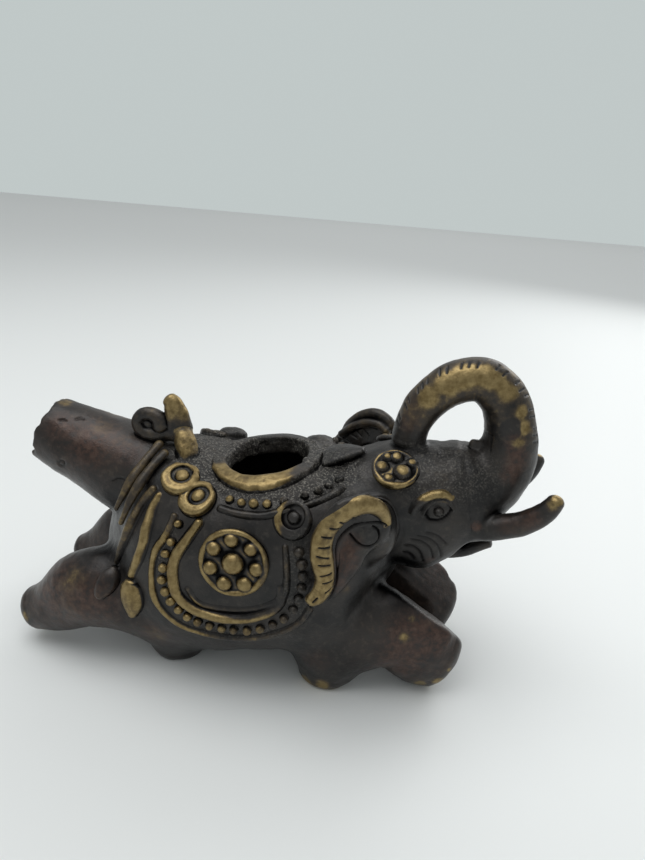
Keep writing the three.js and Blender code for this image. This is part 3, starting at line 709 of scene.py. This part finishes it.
def grainy(p):
    """Rough ground that the tool left: round the mouth, over the back, by the beads and on the brow."""
    q = right_side(p)
    round_mouth = 1 - smooth(norm((q - MOUTH) / (25, 21, 8.5)), 0.75, 1.05)
    band = spot(q, (10, -23, 34), (3.6, 4, 12), 0.5) + spot(q, (-3, -23, 18.5), (14, 5, 2.6), 0.5)
    brow = 0.4 * spot(q, (36, -8, 55), (13, 9, 6), 0.8)
    calm = 1 - 0.92 * smooth(-q[:, 1], 6, 9) * (1 - smooth(past_mouth(q), 2.9, 3.6))
    rear = 0.5 * spot(q, (-18.7, -23, 33), (2.2, 5, 9), 0.5)
    return np.clip(round_mouth * calm + 0.3 * band + brow + rear, 0, 1)


def relief(p):
    """How far the surface stands out, in millimetres, from hand work and rough ground."""
    q = right_side(p)
    lumps = (noise(q, 8.0) - 0.5) * 0.5 + (noise(q, 3.1, 5) - 0.5) * 0.26 + (noise(q, 1.4, 2) - 0.5) * 0.09
    grit = (noise(q, 1.7, 9) - 0.5) * 0.65 + (noise(q, 0.8, 3) - 0.5) * 0.35
    return lumps + grit * grainy(p) - stroke_depth(q)


# Wear and patina: places in the photograph's pixels, each with a radius in pixels and a strength

WORN_AT = [
    (428, 397, 9, 0.45), (447, 383, 10, 0.5), (464, 376, 10, 0.5), (482, 374, 10, 0.5), (496, 381, 9, 0.45),
    (508, 393, 8, 0.4), (522, 412, 6, 0.45), (524, 428, 6, 0.45), (518, 443, 6, 0.3), (512, 429, 7, -0.9),
    (411.5, 618, 5, 0.4), (404, 637, 6, 0.42), (450, 670, 3, 0.5), (438, 682, 7, 0.5), (420, 684, 7, 0.5),
    (306, 680, 7, 0.5), (322, 684, 7, 0.5), (83, 568, 15, 0.19), (64, 594, 27, 0.15), (26, 616, 7, 0.3),
    (43, 628, 8, 0.2), (156, 634, 12, 0.22), (65, 403, 7, 0.35), (102, 426, 12, 0.2), (126, 440, 9, 0.15),
    (559, 498, 5, 0.5), (553, 505, 6, 0.25), (346, 590, 5, 0.2),
]
RED_AT = [
    (95, 440, 24, 0.8), (60, 425, 14, 0.7), (130, 452, 16, 0.5), (345, 562, 12, 1.0), (350, 545, 10, 0.8),
    (338, 586, 9, 0.9), (410, 636, 22, 0.9), (400, 662, 20, 0.8), (438, 640, 16, 0.7), (530, 520, 10, 0.8),
    (508, 526, 9, 0.6), (476, 526, 4.5, 1.6), (516, 444, 9, 0.9), (518, 461, 11, 0.9), (511, 476, 9, 0.7),
    (409, 422, 10, 0.7), (415, 405, 10, 0.6), (55, 592, 30, 0.7), (92, 600, 26, 0.7), (430, 560, 5, 0.7),
    (156, 634, 16, 0.5), (315, 660, 14, 0.4),
]
PIXEL = 0.22  # a pixel's width on the casting


def spots(rows):
    return [(c, r * PIXEL, a) for c, (_, _, r, a) in zip(seen(*rows), rows)]


worn_spots, red_spots = spots(WORN_AT), spots(RED_AT)

# Larger stretches, in millimetres, each with its middle, its reach and a strength
UNDER_FEET = [((44, -12, 0), (7, 7, 1.8), 0.4), ((-50, -13, 1.5), (12, 7, 1.8), 0.3),
              ((16, -12, 0), (6, 7, 1.6), 0.4)]
RED_MASSES = [((-44, -13, 10), (20, 13, 14), 0.4), ((-48, 0, 44), (14, 13, 10), 0.4),
              ((36, -10, 12), (14, 12, 12), 0.4)]
# SHADE is painted shadow: it darkens the chest under the head and the corner of the rump.
SHADE = [((32.0, -8, 29.5), (6.5, 8, 8), 1.3), ((-37.5, -11, 31.5), (5.5, 8, 9), 0.9)]


def painted(p, rows):
    q = right_side(p)
    return sum(a * spot(q, np.array(c), np.array(s), 1.4) for c, s, a in rows)


def look(field, p, gold):
    """Red is wear, green is rough ground, blue is red patina, alpha is painted shade, from how deep a place
    lies.
    """
    d = field(p)
    near, wide = bend(field, p, d, 0.45), bend(field, p, d, 1.7)
    wear = np.clip(gold + painted(p, worn_spots) + painted(p, UNDER_FEET), -0.5, 0.7)
    edge = 0.16 * np.clip(near, -1.5, 2) + 0.15 * np.clip(wide, -1, 0.8)
    wear = np.clip(wear + edge * (0.2 + 2 * np.clip(wear, 0, 0.4)), 0, 1)
    cut = np.clip(stroke_depth(right_side(p)) / 0.45, 0, 1) ** 1.5
    # Painted shade: darker where the surface is hollow, at a fine and a broad scale, in the tool's cuts, and
    # as painted shadow on the SHADE stretches.
    hollow = -0.4 * near - 0.9 * wide - 0.1
    painted_shade = np.clip(np.maximum(hollow, 1.2 * cut) + painted(p, SHADE), 0, 1)
    red = np.clip(painted(p, red_spots) + painted(p, RED_MASSES), 0, 1)
    return np.stack([wear * (1 - 0.6 * cut), grainy(p), red, painted_shade], 1)


# Materials

# The third colour on the next line is the near-black of painted shade in hollows, cuts and shaded stretches.
SOOT, BROWN_BLACK, SHADE_BLACK = (0.008, 0.0073, 0.007, 1), (0.024, 0.0205, 0.018, 1), (0.003, 0.003, 0.0035, 1)
RED_PATINA, RUBBED_BROWN = (0.075, 0.033, 0.02, 1), (0.075, 0.052, 0.028, 1)
DUST, GRIT = (0.07, 0.062, 0.052, 1), (0.17, 0.16, 0.138, 1)
DULL_GOLD, BARE_GOLD = (0.17, 0.12, 0.052, 1), (0.33, 0.25, 0.12, 1)


def bronze(slot):
    """Bronze whose patina, wear and painted shade follow the mesh's look."""
    material = bpy.data.materials.new(slot)
    material.use_nodes = True
    nodes, links = material.node_tree.nodes, material.node_tree.links
    shader = nodes["Principled BSDF"]

    def node(kind, inputs=(), **settings):
        made = nodes.new(kind)
        for key, value in settings.items():
            setattr(made, key, value)
        for socket, value in dict(inputs).items():
            if isinstance(value, bpy.types.NodeSocket):
                links.new(value, made.inputs[socket])
            else:
                made.inputs[socket].default_value = value
        return made

    def math(operation, a, b):
        return node("ShaderNodeMath", {0: a, 1: b}, operation=operation).outputs[0]

    def mix(share, a, b):
        return node("ShaderNodeMix", {0: share, 6: a, 7: b}, data_type="RGBA").outputs[2]

    def ramp(value, low, high):
        made = node("ShaderNodeMapRange", {0: value, 1: low, 2: high}, interpolation_type="SMOOTHSTEP")
        return made.outputs[0]

    place = node("ShaderNodeTexCoord").outputs["Object"]

    def cloud(scale, detail=3.0, rough=0.55):
        inputs = {"Vector": place, "Scale": scale, "Detail": detail, "Roughness": rough}
        return node("ShaderNodeTexNoise", inputs).outputs["Fac"]

    given = node("ShaderNodeAttribute", attribute_name="look")
    parts = node("ShaderNodeSeparateColor", {0: given.outputs["Color"]})
    wear, grain, red, painted_shade = *parts.outputs[:3], given.outputs["Alpha"]
    broad, fine, grit = cloud(140, 3), cloud(700, 5, 0.65), cloud(2300, 3, 0.6)
    worn = math("ADD", wear, math("MULTIPLY", math("SUBTRACT", broad, 0.5), 0.45))
    worn = math("ADD", worn, math("MULTIPLY", math("SUBTRACT", fine, 0.5), 0.5))
    # Painted shade holds the wear back in hollows and cuts.
    worn = math("SUBTRACT", worn, math("MULTIPLY", painted_shade, 0.6))
    bare, brown = ramp(worn, 0.22, 0.58), ramp(worn, 0.05, 0.4)
    dark = mix(ramp(broad, 0.35, 0.65), SOOT, BROWN_BLACK)
    dark = mix(math("MULTIPLY", red, ramp(fine, 0.25, 0.75)), dark, RED_PATINA)
    dark = mix(math("MULTIPLY", ramp(fine, 0.5, 0.72), 0.35), dark, DUST)
    dark = mix(math("MULTIPLY", grain, ramp(grit, 0.48, 0.68)), dark, GRIT)
    dark = mix(math("MULTIPLY", brown, 0.75), dark, RUBBED_BROWN)
    # Painted shade: hollows, cuts and the shaded stretches are mixed towards near-black.
    dark = mix(math("MULTIPLY", painted_shade, 0.9), dark, SHADE_BLACK)
    gold = mix(ramp(fine, 0.25, 0.75), DULL_GOLD, BARE_GOLD)
    links.new(mix(bare, dark, gold), shader.inputs["Base Color"])
    # Painted shade also raises the metallic, so that the darkened hollows lose their grey sheen.
    links.new(math("MAXIMUM", ramp(bare, -0.55, 1.0), painted_shade), shader.inputs["Metallic"])
    rough = math("ADD", math("MULTIPLY", grain, 0.2), math("MULTIPLY", fine, 0.22))
    rough = math("SUBTRACT", math("ADD", rough, 0.27), math("MULTIPLY", red, 0.06))
    links.new(rough, shader.inputs["Roughness"])
    height = math("MULTIPLY", grit, math("ADD", math("MULTIPLY", grain, 1.1), 0.3))
    height = math("ADD", height, math("MULTIPLY", fine, 0.5))
    bump = node("ShaderNodeBump", {"Strength": 0.4, "Distance": 0.0004, "Height": height})
    links.new(bump.outputs["Normal"], shader.inputs["Normal"])
    return material


MATERIALS = {slot: bronze(slot) for slot in ("dark_bronze", "brown_bronze", "golden_bronze")}
slots = {row["node"]: row["material_slot"] for row in frame["record"]["subparts"]}


def add(node, points, quads, looks):
    """The visible piece that stands in for a node."""
    mesh = bpy.data.meshes.new(node + "_cast")
    mesh.vertices.add(len(points))
    mesh.vertices.foreach_set("co", ((points + SHIFT) * 0.001).astype(np.float32).ravel())
    mesh.loops.add(quads.size)
    mesh.loops.foreach_set("vertex_index", quads.astype(np.int32).ravel())
    mesh.polygons.add(len(quads))
    mesh.polygons.foreach_set("loop_start", np.arange(0, quads.size, 4, dtype=np.int32))
    mesh.polygons.foreach_set("use_smooth", np.ones(len(quads), bool))
    mesh.update(calc_edges=True)
    layer = mesh.attributes.new("look", "FLOAT_COLOR", "POINT")
    layer.data.foreach_set("color", looks.astype(np.float32).ravel())
    mesh.materials.append(MATERIALS[slots[node]])
    piece = bpy.data.objects.new(node + "_cast", mesh)
    bpy.context.scene.collection.objects.link(piece)
    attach(piece, "root")
    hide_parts(node)


def add_skin(name, field, whole, low, high, step, gold, pair, rough=1.0):
    """Skin a field, colour it and shape its surface, and add it once or on both sides."""
    points, quads = skin(field, low, high, step * COARSER)
    out = values(lambda p: slope(whole, p), points)
    looks = look(lambda p: values(whole, p), points, gold(points) if callable(gold) else gold)
    looks[:, 1] *= rough
    points = points + out * values(relief, points)[:, None] * rough
    if not pair:
        add(name, points, quads, looks)
        return
    add(name + "_right", points, quads, looks)
    add(name + "_left", points * (1, -1, 1), quads[:, ::-1], looks)


def add_cast(part, low, high, step, gold=0.0, pair=False):
    """A main piece: the casting where this form is the nearest, and a little beyond, sunk there."""
    def field(p):
        d, outside = cast(p, part)
        return np.maximum(d + 0.06 * smooth(outside, 0, 0.5), outside - 0.5)

    add_skin(part, field, cast, low, high, step, gold, pair)


def add_ornament(name, form, k, step, gold, pair=False, host=cast, sink=0.03, rough=1.0):
    """A piece laid on the casting, with the fillet that joins it."""
    def whole(p):
        return smin(host(p), form(p), k)

    def field(p):
        own = form(p)
        return np.maximum(smin(host(p) + sink, own, k), own - k - 0.1)

    add_skin(name, field, whole, form.low - k, form.high + k, step, gold, pair, rough)


def over(*forms):
    """The casting with other ornaments already on it."""
    def host(p):
        d = cast(p)
        for form in forms:
            d = smin(d, form(p), 0.3)
        return d
    return host


def fading(base, *ramps):
    """Bareness that starts at a level and changes along axes: how much, the axis, from and to."""
    def gold(q):
        return base + sum(gain * smooth(q[:, axis], start, end) for gain, axis, start, end in ramps)
    return gold


# Main pieces, each with the box that holds it and its skin's step

add_cast("body_shell", (-46, -25, 0), (34, 25, 53), step=0.42)
add_cast("pouring_tube", (-62, -13, 28), (-24, 13, 60), step=0.36)
add_cast("head", (2, -15, 26), (55, 15, 60), step=0.36)
add_cast("trunk", (24, -10, 38), (60, 10, 80), step=0.27, gold=fading(0, (0.2, Z, 58, 67)))
add_cast("foreleg", (1, -23, -0.5), (50, -1, 34), step=0.4, pair=True)
add_cast("hindleg", (-62, -24, -0.5), (-3, -1, 31), step=0.4, pair=True)
add_cast("tusk", (41, -15, 36), (64, -2, 57), step=0.28, pair=True)
add_cast("lower_lip", (33, -7, 27), (56, 7, 40), step=0.28)
add_cast("ear", ear.low, ear.high, step=0.22, pair=True)
add_ornament("ear_rim_right", ear_rim, 0.4, step=0.17, gold=fading(0.42, (0.06, Z, 46, 54)))

# The far ear shows two folds over the back
FAR_FOLDS = [[(339, 440), (345, 433), (350, 424), (361, 416), (375, 413.5), (386, 418.5), (392, 426)],
             [(341.5, 434), (352, 427), (366, 423), (379, 425), (386, 431)]]
far_at, far_out = EAR_AT * (1, -1, 1), EAR_OUT * (1, -1, 1)
far_folds = [wire(meet(line, far_at - far_out * inward, far_out), radius, 24)
             for line, inward, radius in zip(FAR_FOLDS, (0, 1.4), (1.35, 1.15))]
add_ornament("ear_rim_left", union([ear_rim.mirrored(), *far_folds], 0.5), 0.5, step=0.22, gold=0.1)


# Saddle cloth: points on the flank are x, z or x, z, y

def laid(points, lift=0.0):
    """Points laid on the body's side, or lifted off it."""
    p = np.array([on_body(p[0], p[2] if len(p) > 2 else -24, p[1]) for p in points])
    for _ in range(3):
        p = p - slope(shell, p) * shell(p)[:, None]
    return list(p + slope(shell, p) * lift)


def mouth_rim_field(p):
    out = past_mouth(p)
    height = barrel()(p) - 0.2
    a = np.maximum(np.abs(out - 1.65) - 1.05, 0)
    b = np.maximum(np.abs(height) - 0.6, 0)
    return np.sqrt(a * a + b * b) - 0.6


def rim_gold(q):
    """The mouth's rim is bare on the near side, where hands reach it."""
    return 0.44 * smooth(q[:, Y], -6, -9) * (1 - smooth(q[:, X], 3, 7))


mouth_rim = Form(mouth_rim_field, MOUTH - (15, 16, 6), MOUTH + (15, 16, 5), 2.5)
add_ornament("mouth_rim", mouth_rim, 0.35, step=0.28, gold=rim_gold)

OUTER = [(-18.2, 42.6, -20.2), (-19.4, 40.4), (-21.4, 36), (-22.2, 30), (-20.9, 22), (-15.5, 17),
         (-8.7, 15.5), (-2.1, 15.4), (4.6, 17.6), (10.9, 22.3), (12.6, 26)]
INNER = [(-12.4, 42.4, -21.2), (-15, 38.9), (-16.9, 34.3), (-17, 29.6), (-15.9, 25.5), (-13, 23),
         (-8.9, 21.7), (-3, 21.7), (2, 23.4), (5.6, 26), (7.3, 30.5), (7.2, 36), (6.4, 41)]
LOW = [(-13.6, 27.6), (-11.8, 24.8), (-8.1, 23.9), (-1.3, 24.4), (4, 26.5), (6, 28.1), (6.2, 31)]
BEADS = [(-16.8, 41.6, -21.4), (-17.9, 38.6), (-18.9, 35.4), (-19.3, 32), (-19.4, 28.9), (-18.7, 26.1),
         (-17.4, 23.8), (-15.7, 21.9), (-13.7, 20.4), (-11.4, 19.4), (-8.8, 18.8), (-6.1, 18.5),
         (-3.4, 18.5), (-0.5, 18.9), (2.4, 19.9), (5.1, 21.4), (7.4, 23.4), (9.2, 25.9), (10.2, 28.7),
         (10.6, 31.6), (10.6, 34.5), (10.2, 37.4), (9.3, 40.2)]
COLLAR = [(-6.9, 47.3, -18), (-4.1, 47.4, -18.9), (-1.4, 47.6, -19.2), (1.4, 48, -19.1), (4.8, 48.7, -18.2),
          (8.7, 49.8, -16.4), (11.2, 50.5, -14.6), (13.2, 50.9, -12.2), (15, 51.2, -9.4)]
RIDGE = [(-8.4, 45.6, -19.3), (-3.9, 45.4, -20.3), (0.9, 45.8, -20.5), (4.6, 47, -19.8),
         (9.6, 48.4, -17.9), (14.4, 49.7, -14), (17.6, 50.6, -8), (18.8, 51, -3)]
FLANK = (-3.9, -24, 35.8)  # abreast of the flank rosette's middle


def outer_gold(q):
    return 0.08 + 0.32 * smooth(q[:, X], -6, -15) * smooth(q[:, Z], 41, 37)


def collar_gold(q):
    return 0.02 + 0.36 * smooth(q[:, X], 5, 2) * smooth(q[:, Z], 46.4, 47.2)


def inner_gold(q):
    """The wide cord is worn but for its right end, and the thin one inside it is dark."""
    inside = 1 - smooth(norm((q - FLANK) * (1, 0, 1)), 13, 14)
    return (0.42 - 0.36 * smooth(q[:, X], 2, 7)) * (1 - 0.85 * inside * (1 - smooth(q[:, Z], 28, 30)))


outer = wire(laid(OUTER, 0.1), [0.75] * 3 + [0.68] * 8, 44)
add_ornament("outer_cord", outer, 0.45, step=0.22, gold=outer_gold, pair=True)
inner = union([wire(laid(INNER, 0.15), [0.95] + [1.1] * 8 + [0.95, 0.65, 0.5, 0.4], 44),
               wire(laid(LOW, -0.15), 0.5, 24)], 0.4)
add_ornament("inner_cord", inner, 0.5, step=0.24, gold=inner_gold, pair=True)
beads = union([egg(p, (0.98, 0.98, 0.95), None, 1.5) for p in laid(BEADS, 0.45)], 0.2)
bead_gold = fading(0.04, (0.12, X, 6, 0), (0.2, X, -10, -16))
add_ornament("bead_row", beads, 0.3, step=0.2, gold=bead_gold, pair=True)
collar = union([egg(p, (0.92, 0.92, 0.9), None, 1.5) for p in laid(COLLAR, 0.4)]
               + [wire(laid(RIDGE), 0.75, 36)], 0.2)
add_ornament("collar_band", collar, 0.35, step=0.22, gold=collar_gold, pair=True)


def rosette(centre, axis, radius, rim, pellets, field_height=0.3):
    """A shallow dish with a raised rim, and pellets at places given in shares of its radius."""
    u = unit(np.cross((0, 0, 1), axis))
    v = np.cross(axis, u)
    forms = [disc(centre - 0.5 * axis, axis, radius - rim, 0.5 + field_height),
             ring(centre + 0.15 * axis, axis, radius - rim, rim)]
    for across, up, size in pellets:
        place = centre + radius * (across * u + up * v) + field_height * axis
        forms.append(egg(place, (size, size, size * 0.85), axis))
    return union(forms, 0.25)


def circle(count, share, size, start):
    """Pellets in a circle at a share of a rosette's radius."""
    turns = np.radians(start) + 2 * np.pi * np.arange(count) / count
    return [(share * np.cos(a), share * np.sin(a), size) for a in turns]


flank_centre = on_body(*FLANK)
flank_axis = slope(barrel(), flank_centre[None])[0]
pellets = [(0, 0, 2.45), *circle(7, 0.67, 1.6, 97)]
flank = rosette(flank_centre + flank_axis * 0.2, flank_axis, 7.5, 0.65, pellets)
add_ornament("flank_rosette", flank, 0.3, step=0.2, gold=fading(0.36, (-0.2, X, 0.5, 3.5)), pair=True)

# A boss's place is in the photograph's pixels
BOSSES = {"rear": (180.4, 478.8), "middle": (197.9, 499.5), "front": (293.2, 519.6)}


def boss(place, axis):
    """A flat ring that is wider at the lower left, round a hub in a recess."""
    toward = RIGHT * 0.55 + UP * 0.8
    toward = unit(toward - axis * (toward @ axis))
    plate = disc(place + 0.1 * axis, axis, 4.15, 1.15, 0.9)
    recess = disc(place + 1.55 * axis + 0.55 * toward, axis, 2.5, 0.95, 0.3)
    hub = egg(place + 0.75 * axis + 0.5 * toward, (1.35, 1.35, 0.75), axis)
    return Form(lambda p: smin(smax(plate(p), -recess(p), 0.3), hub(p), 0.2), plate.low, plate.high, 2.5)


bosses = {name: boss(place, facing(place)) for name, place in zip(BOSSES, seen(*BOSSES.values()))}
add_ornament("boss_rear_right", bosses["rear"], 0.3, step=0.2, gold=0.4)
add_ornament("boss_middle_right", bosses["middle"], 0.3, step=0.2, gold=0.42, host=over(bosses["rear"]))
add_ornament("boss_front_right", bosses["front"], 0.3, step=0.2, gold=fading(0.45, (-0.45, X, 4.2, 6.2)))

# Two of the far bosses show over the back as dark knobs
SIDE = np.array((0, 1.0, 0))
FAR_BOSSES = {"middle": (233.5, 432.5), "front": (321.3, 440)}
add_ornament("boss_rear_left", bosses["rear"].mirrored(), 0.3, step=0.24, gold=0.1)
for name, pixel in FAR_BOSSES.items():
    far_place = meet([pixel], (0, 14.5, 0), SIDE)[0]
    knob = egg(far_place - (0, 0, 0.5), (3.7, 3.7, 1.9), (0, 0.4, 1))
    add_ornament(f"boss_{name}_left", knob, 1.2, step=0.24, gold=0, rough=0.3)

leaf = sweep([(11, -0.5, 51.8, 5, 1.6), (14, -1, 53.2, 4.6, 1.5), (17, -1.6, 54.3, 3.2, 1.3),
              (20, -2.2, 55.2, 1.0, 0.8)], 14, (1, 0.6), margin=3)
add_ornament("collar_point", leaf, 0.5, step=0.28, gold=0, rough=0.5)

# Crupper: straps, tassels and the knot. The first two straps' stations are in millimetres, with
# half the thickness and half the width. What follows is drawn in the photograph's pixels, with
# half widths in millimetres.

STRAPS = {
    "strap_first": (0.15, [(-26.2, -5.4, 52.8, 0.9, 1.0), (-28.7, -10, 49.1, 1.1, 1.2),
                           (-30.9, -13.7, 44.8, 1.1, 1.2), (-33, -16.3, 39.4, 0.7, 0.7)]),
    "strap_second": (0.13, [(-24.2, -7.4, 51.6, 0.9, 1.0), (-26.8, -11.8, 48.2, 1.1, 1.2),
                            (-29, -15.7, 43.6, 1.1, 1.2), (-31, -18.4, 37.4, 0.7, 0.7)]),
}
OUTWARD = (-0.25, -0.6, 0.75)
LIFT = 0.35  # how far the thinner ornaments are drawn off the casting
for name, (bare, stations) in STRAPS.items():
    strap = sweep(stations, 18, (0.8, 0.8), OUTWARD, 3)
    add_ornament(name, strap, 0.5, step=0.24, gold=bare, pair=True)

THIRD = [(154.4, 489.5), (143.1, 503.6), (134.4, 518.8), (127.9, 533.9), (121.6, 549.1), (117.4, 561)]
FOURTH = [(158.6, 495.4), (152, 510.1), (147.4, 525.3), (144, 540.5), (138.8, 555.6), (131.4, 574.1)]
third = seen(*THIRD)
third = wire(third + slope(cast, third, 1.0) * LIFT, [0.8, 1.0, 1.1, 1.1, 0.9, 0.5], 26)
add_ornament("strap_third", third, 0.6, step=0.22, gold=0.17, pair=True)
fourth = wire(seen(*FOURTH), [0.5, 1.0, 1.2, 1.2, 1.15, 0.9], 26)
add_ornament("strap_fourth", fourth, 0.6, step=0.22, gold=0.36, pair=True)

THIRD_TASSEL = [(116, 566, 0.7), (112.5, 574, 2.1), (106.5, 584, 2.2), (101.5, 592, 1.6), (98.5, 597.5, 0.7)]
FOURTH_TASSEL = [(131.5, 578.5, 0.9), (132, 584, 2.3), (133.2, 592.5, 2.8), (133.3, 602, 2.5),
                 (133, 611, 1.6), (132.8, 616.5, 0.6)]


def tassel(rows):
    middle = len(rows) // 2
    places = seen(*rows)
    places = places + facing(places[middle]) * LIFT
    stations = [(*p, 0.25 + 0.6 * r, r) for p, (_, _, r) in zip(places, rows)]
    return sweep(stations, 18, (0.6, 0.6), facing(places[middle]), 3)


tassel_gold = fading(0.05, (0.15, Z, 22, 18))
add_ornament("tassel_third", tassel(THIRD_TASSEL), 0.5, step=0.24, gold=tassel_gold, pair=True)
add_ornament("tassel_fourth", tassel(FOURTH_TASSEL), 0.5, step=0.22, gold=0.38, pair=True)

HORN = [(182, 437, 2.6), (178.6, 428, 3.3), (177, 419, 2.9), (175.2, 410.5, 2.5), (171.6, 402.4, 2.0),
        (166.4, 396.9, 1.2)]
CURL = [(184, 434), (168, 433.6), (153, 434.2), (142.4, 430), (138, 421.6), (143, 414.8), (151.6, 414.2),
        (158.8, 418.6), (161.5, 425.5)]
STUB = [(180, 429, 1.6), (187.6, 436, 2.3), (191.4, 443.5, 2.45), (191.8, 451.5, 1.8), (191.2, 458.5, 1.2)]
CURL_MIDDLE = (148.5, 422.7)


def upright(rows, across, aside):
    """Stations for rows drawn in pixels, on a plane this far aside; across is a share of the width."""
    return [(*p, across * r, r) for p, (_, _, r) in zip(meet(rows, (0, aside, 0), SIDE), rows)]


horn = sweep(upright(HORN, 0.8, -1.4), 18, (1.5, 1.0), margin=3)
curl_wire = wire(meet(CURL, (0, -2.6, 0), SIDE), [1.5, 1.7, 1.8, 1.75, 1.65, 1.6, 1.6, 1.8, 2.0], 40)
curl_middle = egg(meet([CURL_MIDDLE], (0, -2.2, 0), SIDE)[0], (1.6, 1.3, 1.6))
curl = union([curl_wire, curl_middle], 0.4)
stub = sweep([(x, y - k * 1.5, z - k * 0.35, wide, high) for k, (x, y, z, wide, high)
              in enumerate(upright(STUB, 1.15, -1.8))], 16, (1.2, 1.0), margin=3)
add_ornament("knot_horn", horn, 0.6, step=0.24, gold=fading(0.05, (0.3, Z, 55, 60)))
add_ornament("knot_curl", curl, 0.5, step=0.24, gold=0.08, host=over(horn))
add_ornament("knot_stub", stub, 0.7, step=0.24, gold=0.38, host=over(horn, curl))

# Face: the temple's pellets are in shares of its rosette, and the rest is in the photograph's pixels

TEMPLE, EYE_PIXEL = (395.6, 469.5), (438.9, 512)
TEMPLE_PELLETS = [(-0.6, -0.05, 1.5), (-0.4, 0.52, 1.1), (0.0, 0.55, 1.4), (0.66, 0.36, 1.3),
                  (0.3, -0.2, 1.95), (-0.25, -0.62, 1.15)]
BROW = [(412.7, 511.8), (419, 503), (431, 496), (443.2, 494.6), (450.3, 498.5)]
LID = [(423.5, 515), (429, 507), (438, 502.6), (447.5, 504), (453, 510)]
temple = seen(TEMPLE)[0]
temple_axis = unit(facing(temple) + (0.1, 0.1, 0.35))
temple_form = rosette(temple + 0.2 * temple_axis, temple_axis, 5.1, 0.55, TEMPLE_PELLETS)


def temple_gold(q):
    """The pellets' tops and the lower edge are bare."""
    tops = 0.02 + 0.4 * (1 - smooth(temple_form(q - 0.6 * temple_axis), -0.55, -0.3))
    low = 0.42 * smooth(q[:, Z], temple[Z] - 0.4, temple[Z] - 1.6)
    return np.maximum(tops, low)


add_ornament("head_rosette", temple_form, 0.3, step=0.2, gold=temple_gold, pair=True)
eye_place = seen(EYE_PIXEL)[0]
eye = egg(eye_place - facing(eye_place, 1.0) * 0.15, (1.15, 1.15, 1.05))
add_ornament("eye", eye, 0.15, step=0.18, gold=-0.5, pair=True)
brow = union([wire(seen(*BROW), [0.5, 0.95, 1.05, 0.9, 0.5], 18),
              wire(seen(*LID), [0.2, 0.4, 0.5, 0.4, 0.2], 18)], 0.4)
add_ornament("brow", brow, 0.8, step=0.22, gold=fading(0, (0.42, Z, 49.4, 50.4)), pair=True)

# Floor, light and camera, in metres

FLOOR = 2.0  # half its side
PALE = (0.8, 0.82, 0.815, 1)
SENSOR = 36

floor_mesh = bpy.data.meshes.new("floor")
corners = [(-FLOOR, -FLOOR, 0), (FLOOR, -FLOOR, 0), (FLOOR, FLOOR, 0), (-FLOOR, FLOOR, 0)]
floor_mesh.from_pydata(corners, [], [(0, 1, 2, 3)])
floor = bpy.data.objects.new("floor", floor_mesh)
bpy.context.scene.collection.objects.link(floor)
pale = bpy.data.materials.new("floor")
pale.use_nodes = True
pale.node_tree.nodes["Principled BSDF"].inputs["Base Color"].default_value = PALE
floor.data.materials.append(pale)

world = bpy.data.worlds.new("world")
bpy.context.scene.world = world
world.use_nodes = True
nodes, links = world.node_tree.nodes, world.node_tree.links
light = nodes["Background"]
light.inputs["Color"].default_value = (0.84, 0.87, 0.87, 1)
light.inputs["Strength"].default_value = 0.58
backdrop = nodes.new("ShaderNodeBackground")
backdrop.inputs["Color"].default_value = (0.53, 0.58, 0.575, 1)
to_camera = nodes.new("ShaderNodeMixShader")
links.new(nodes.new("ShaderNodeLightPath").outputs["Is Camera Ray"], to_camera.inputs[0])
links.new(light.outputs[0], to_camera.inputs[1])
links.new(backdrop.outputs[0], to_camera.inputs[2])
links.new(to_camera.outputs[0], nodes["World Output"].inputs["Surface"])


def lamp(name, place, size, energy):
    """A square lamp that faces the object's middle."""
    data = bpy.data.lights.new(name, "AREA")
    data.energy, data.size = energy, size
    made = bpy.data.objects.new(name, data)
    made.location = place
    made.rotation_euler = (Vector((0, 0, 0.03)) - Vector(place)).to_track_quat("-Z", "Y").to_euler()
    bpy.context.scene.collection.objects.link(made)


lamp("window", (-0.12, -0.05, 0.6), 0.5, 1.9)
lamp("back", (0.35, 0.5, 0.35), 0.4, 1.2)
lamp("wall", (0.2, 1.6, 1.3), 1.5, 3.0)

camera_data = bpy.data.cameras.new("camera")
camera_data.lens = FOCAL / HEIGHT * SENSOR
camera_data.sensor_width = SENSOR
camera_data.clip_start = 0.005
camera = bpy.data.objects.new("camera", camera_data)
bpy.context.scene.collection.objects.link(camera)
bpy.context.scene.camera = camera
axes = Matrix((Vector(RIGHT), Vector(UP), -Vector(AHEAD))).transposed()
camera.matrix_world = Matrix.Translation(Vector((EYE + SHIFT) * 0.001)) @ axes.to_4x4()
bpy.context.scene.view_settings.view_transform = "Standard"
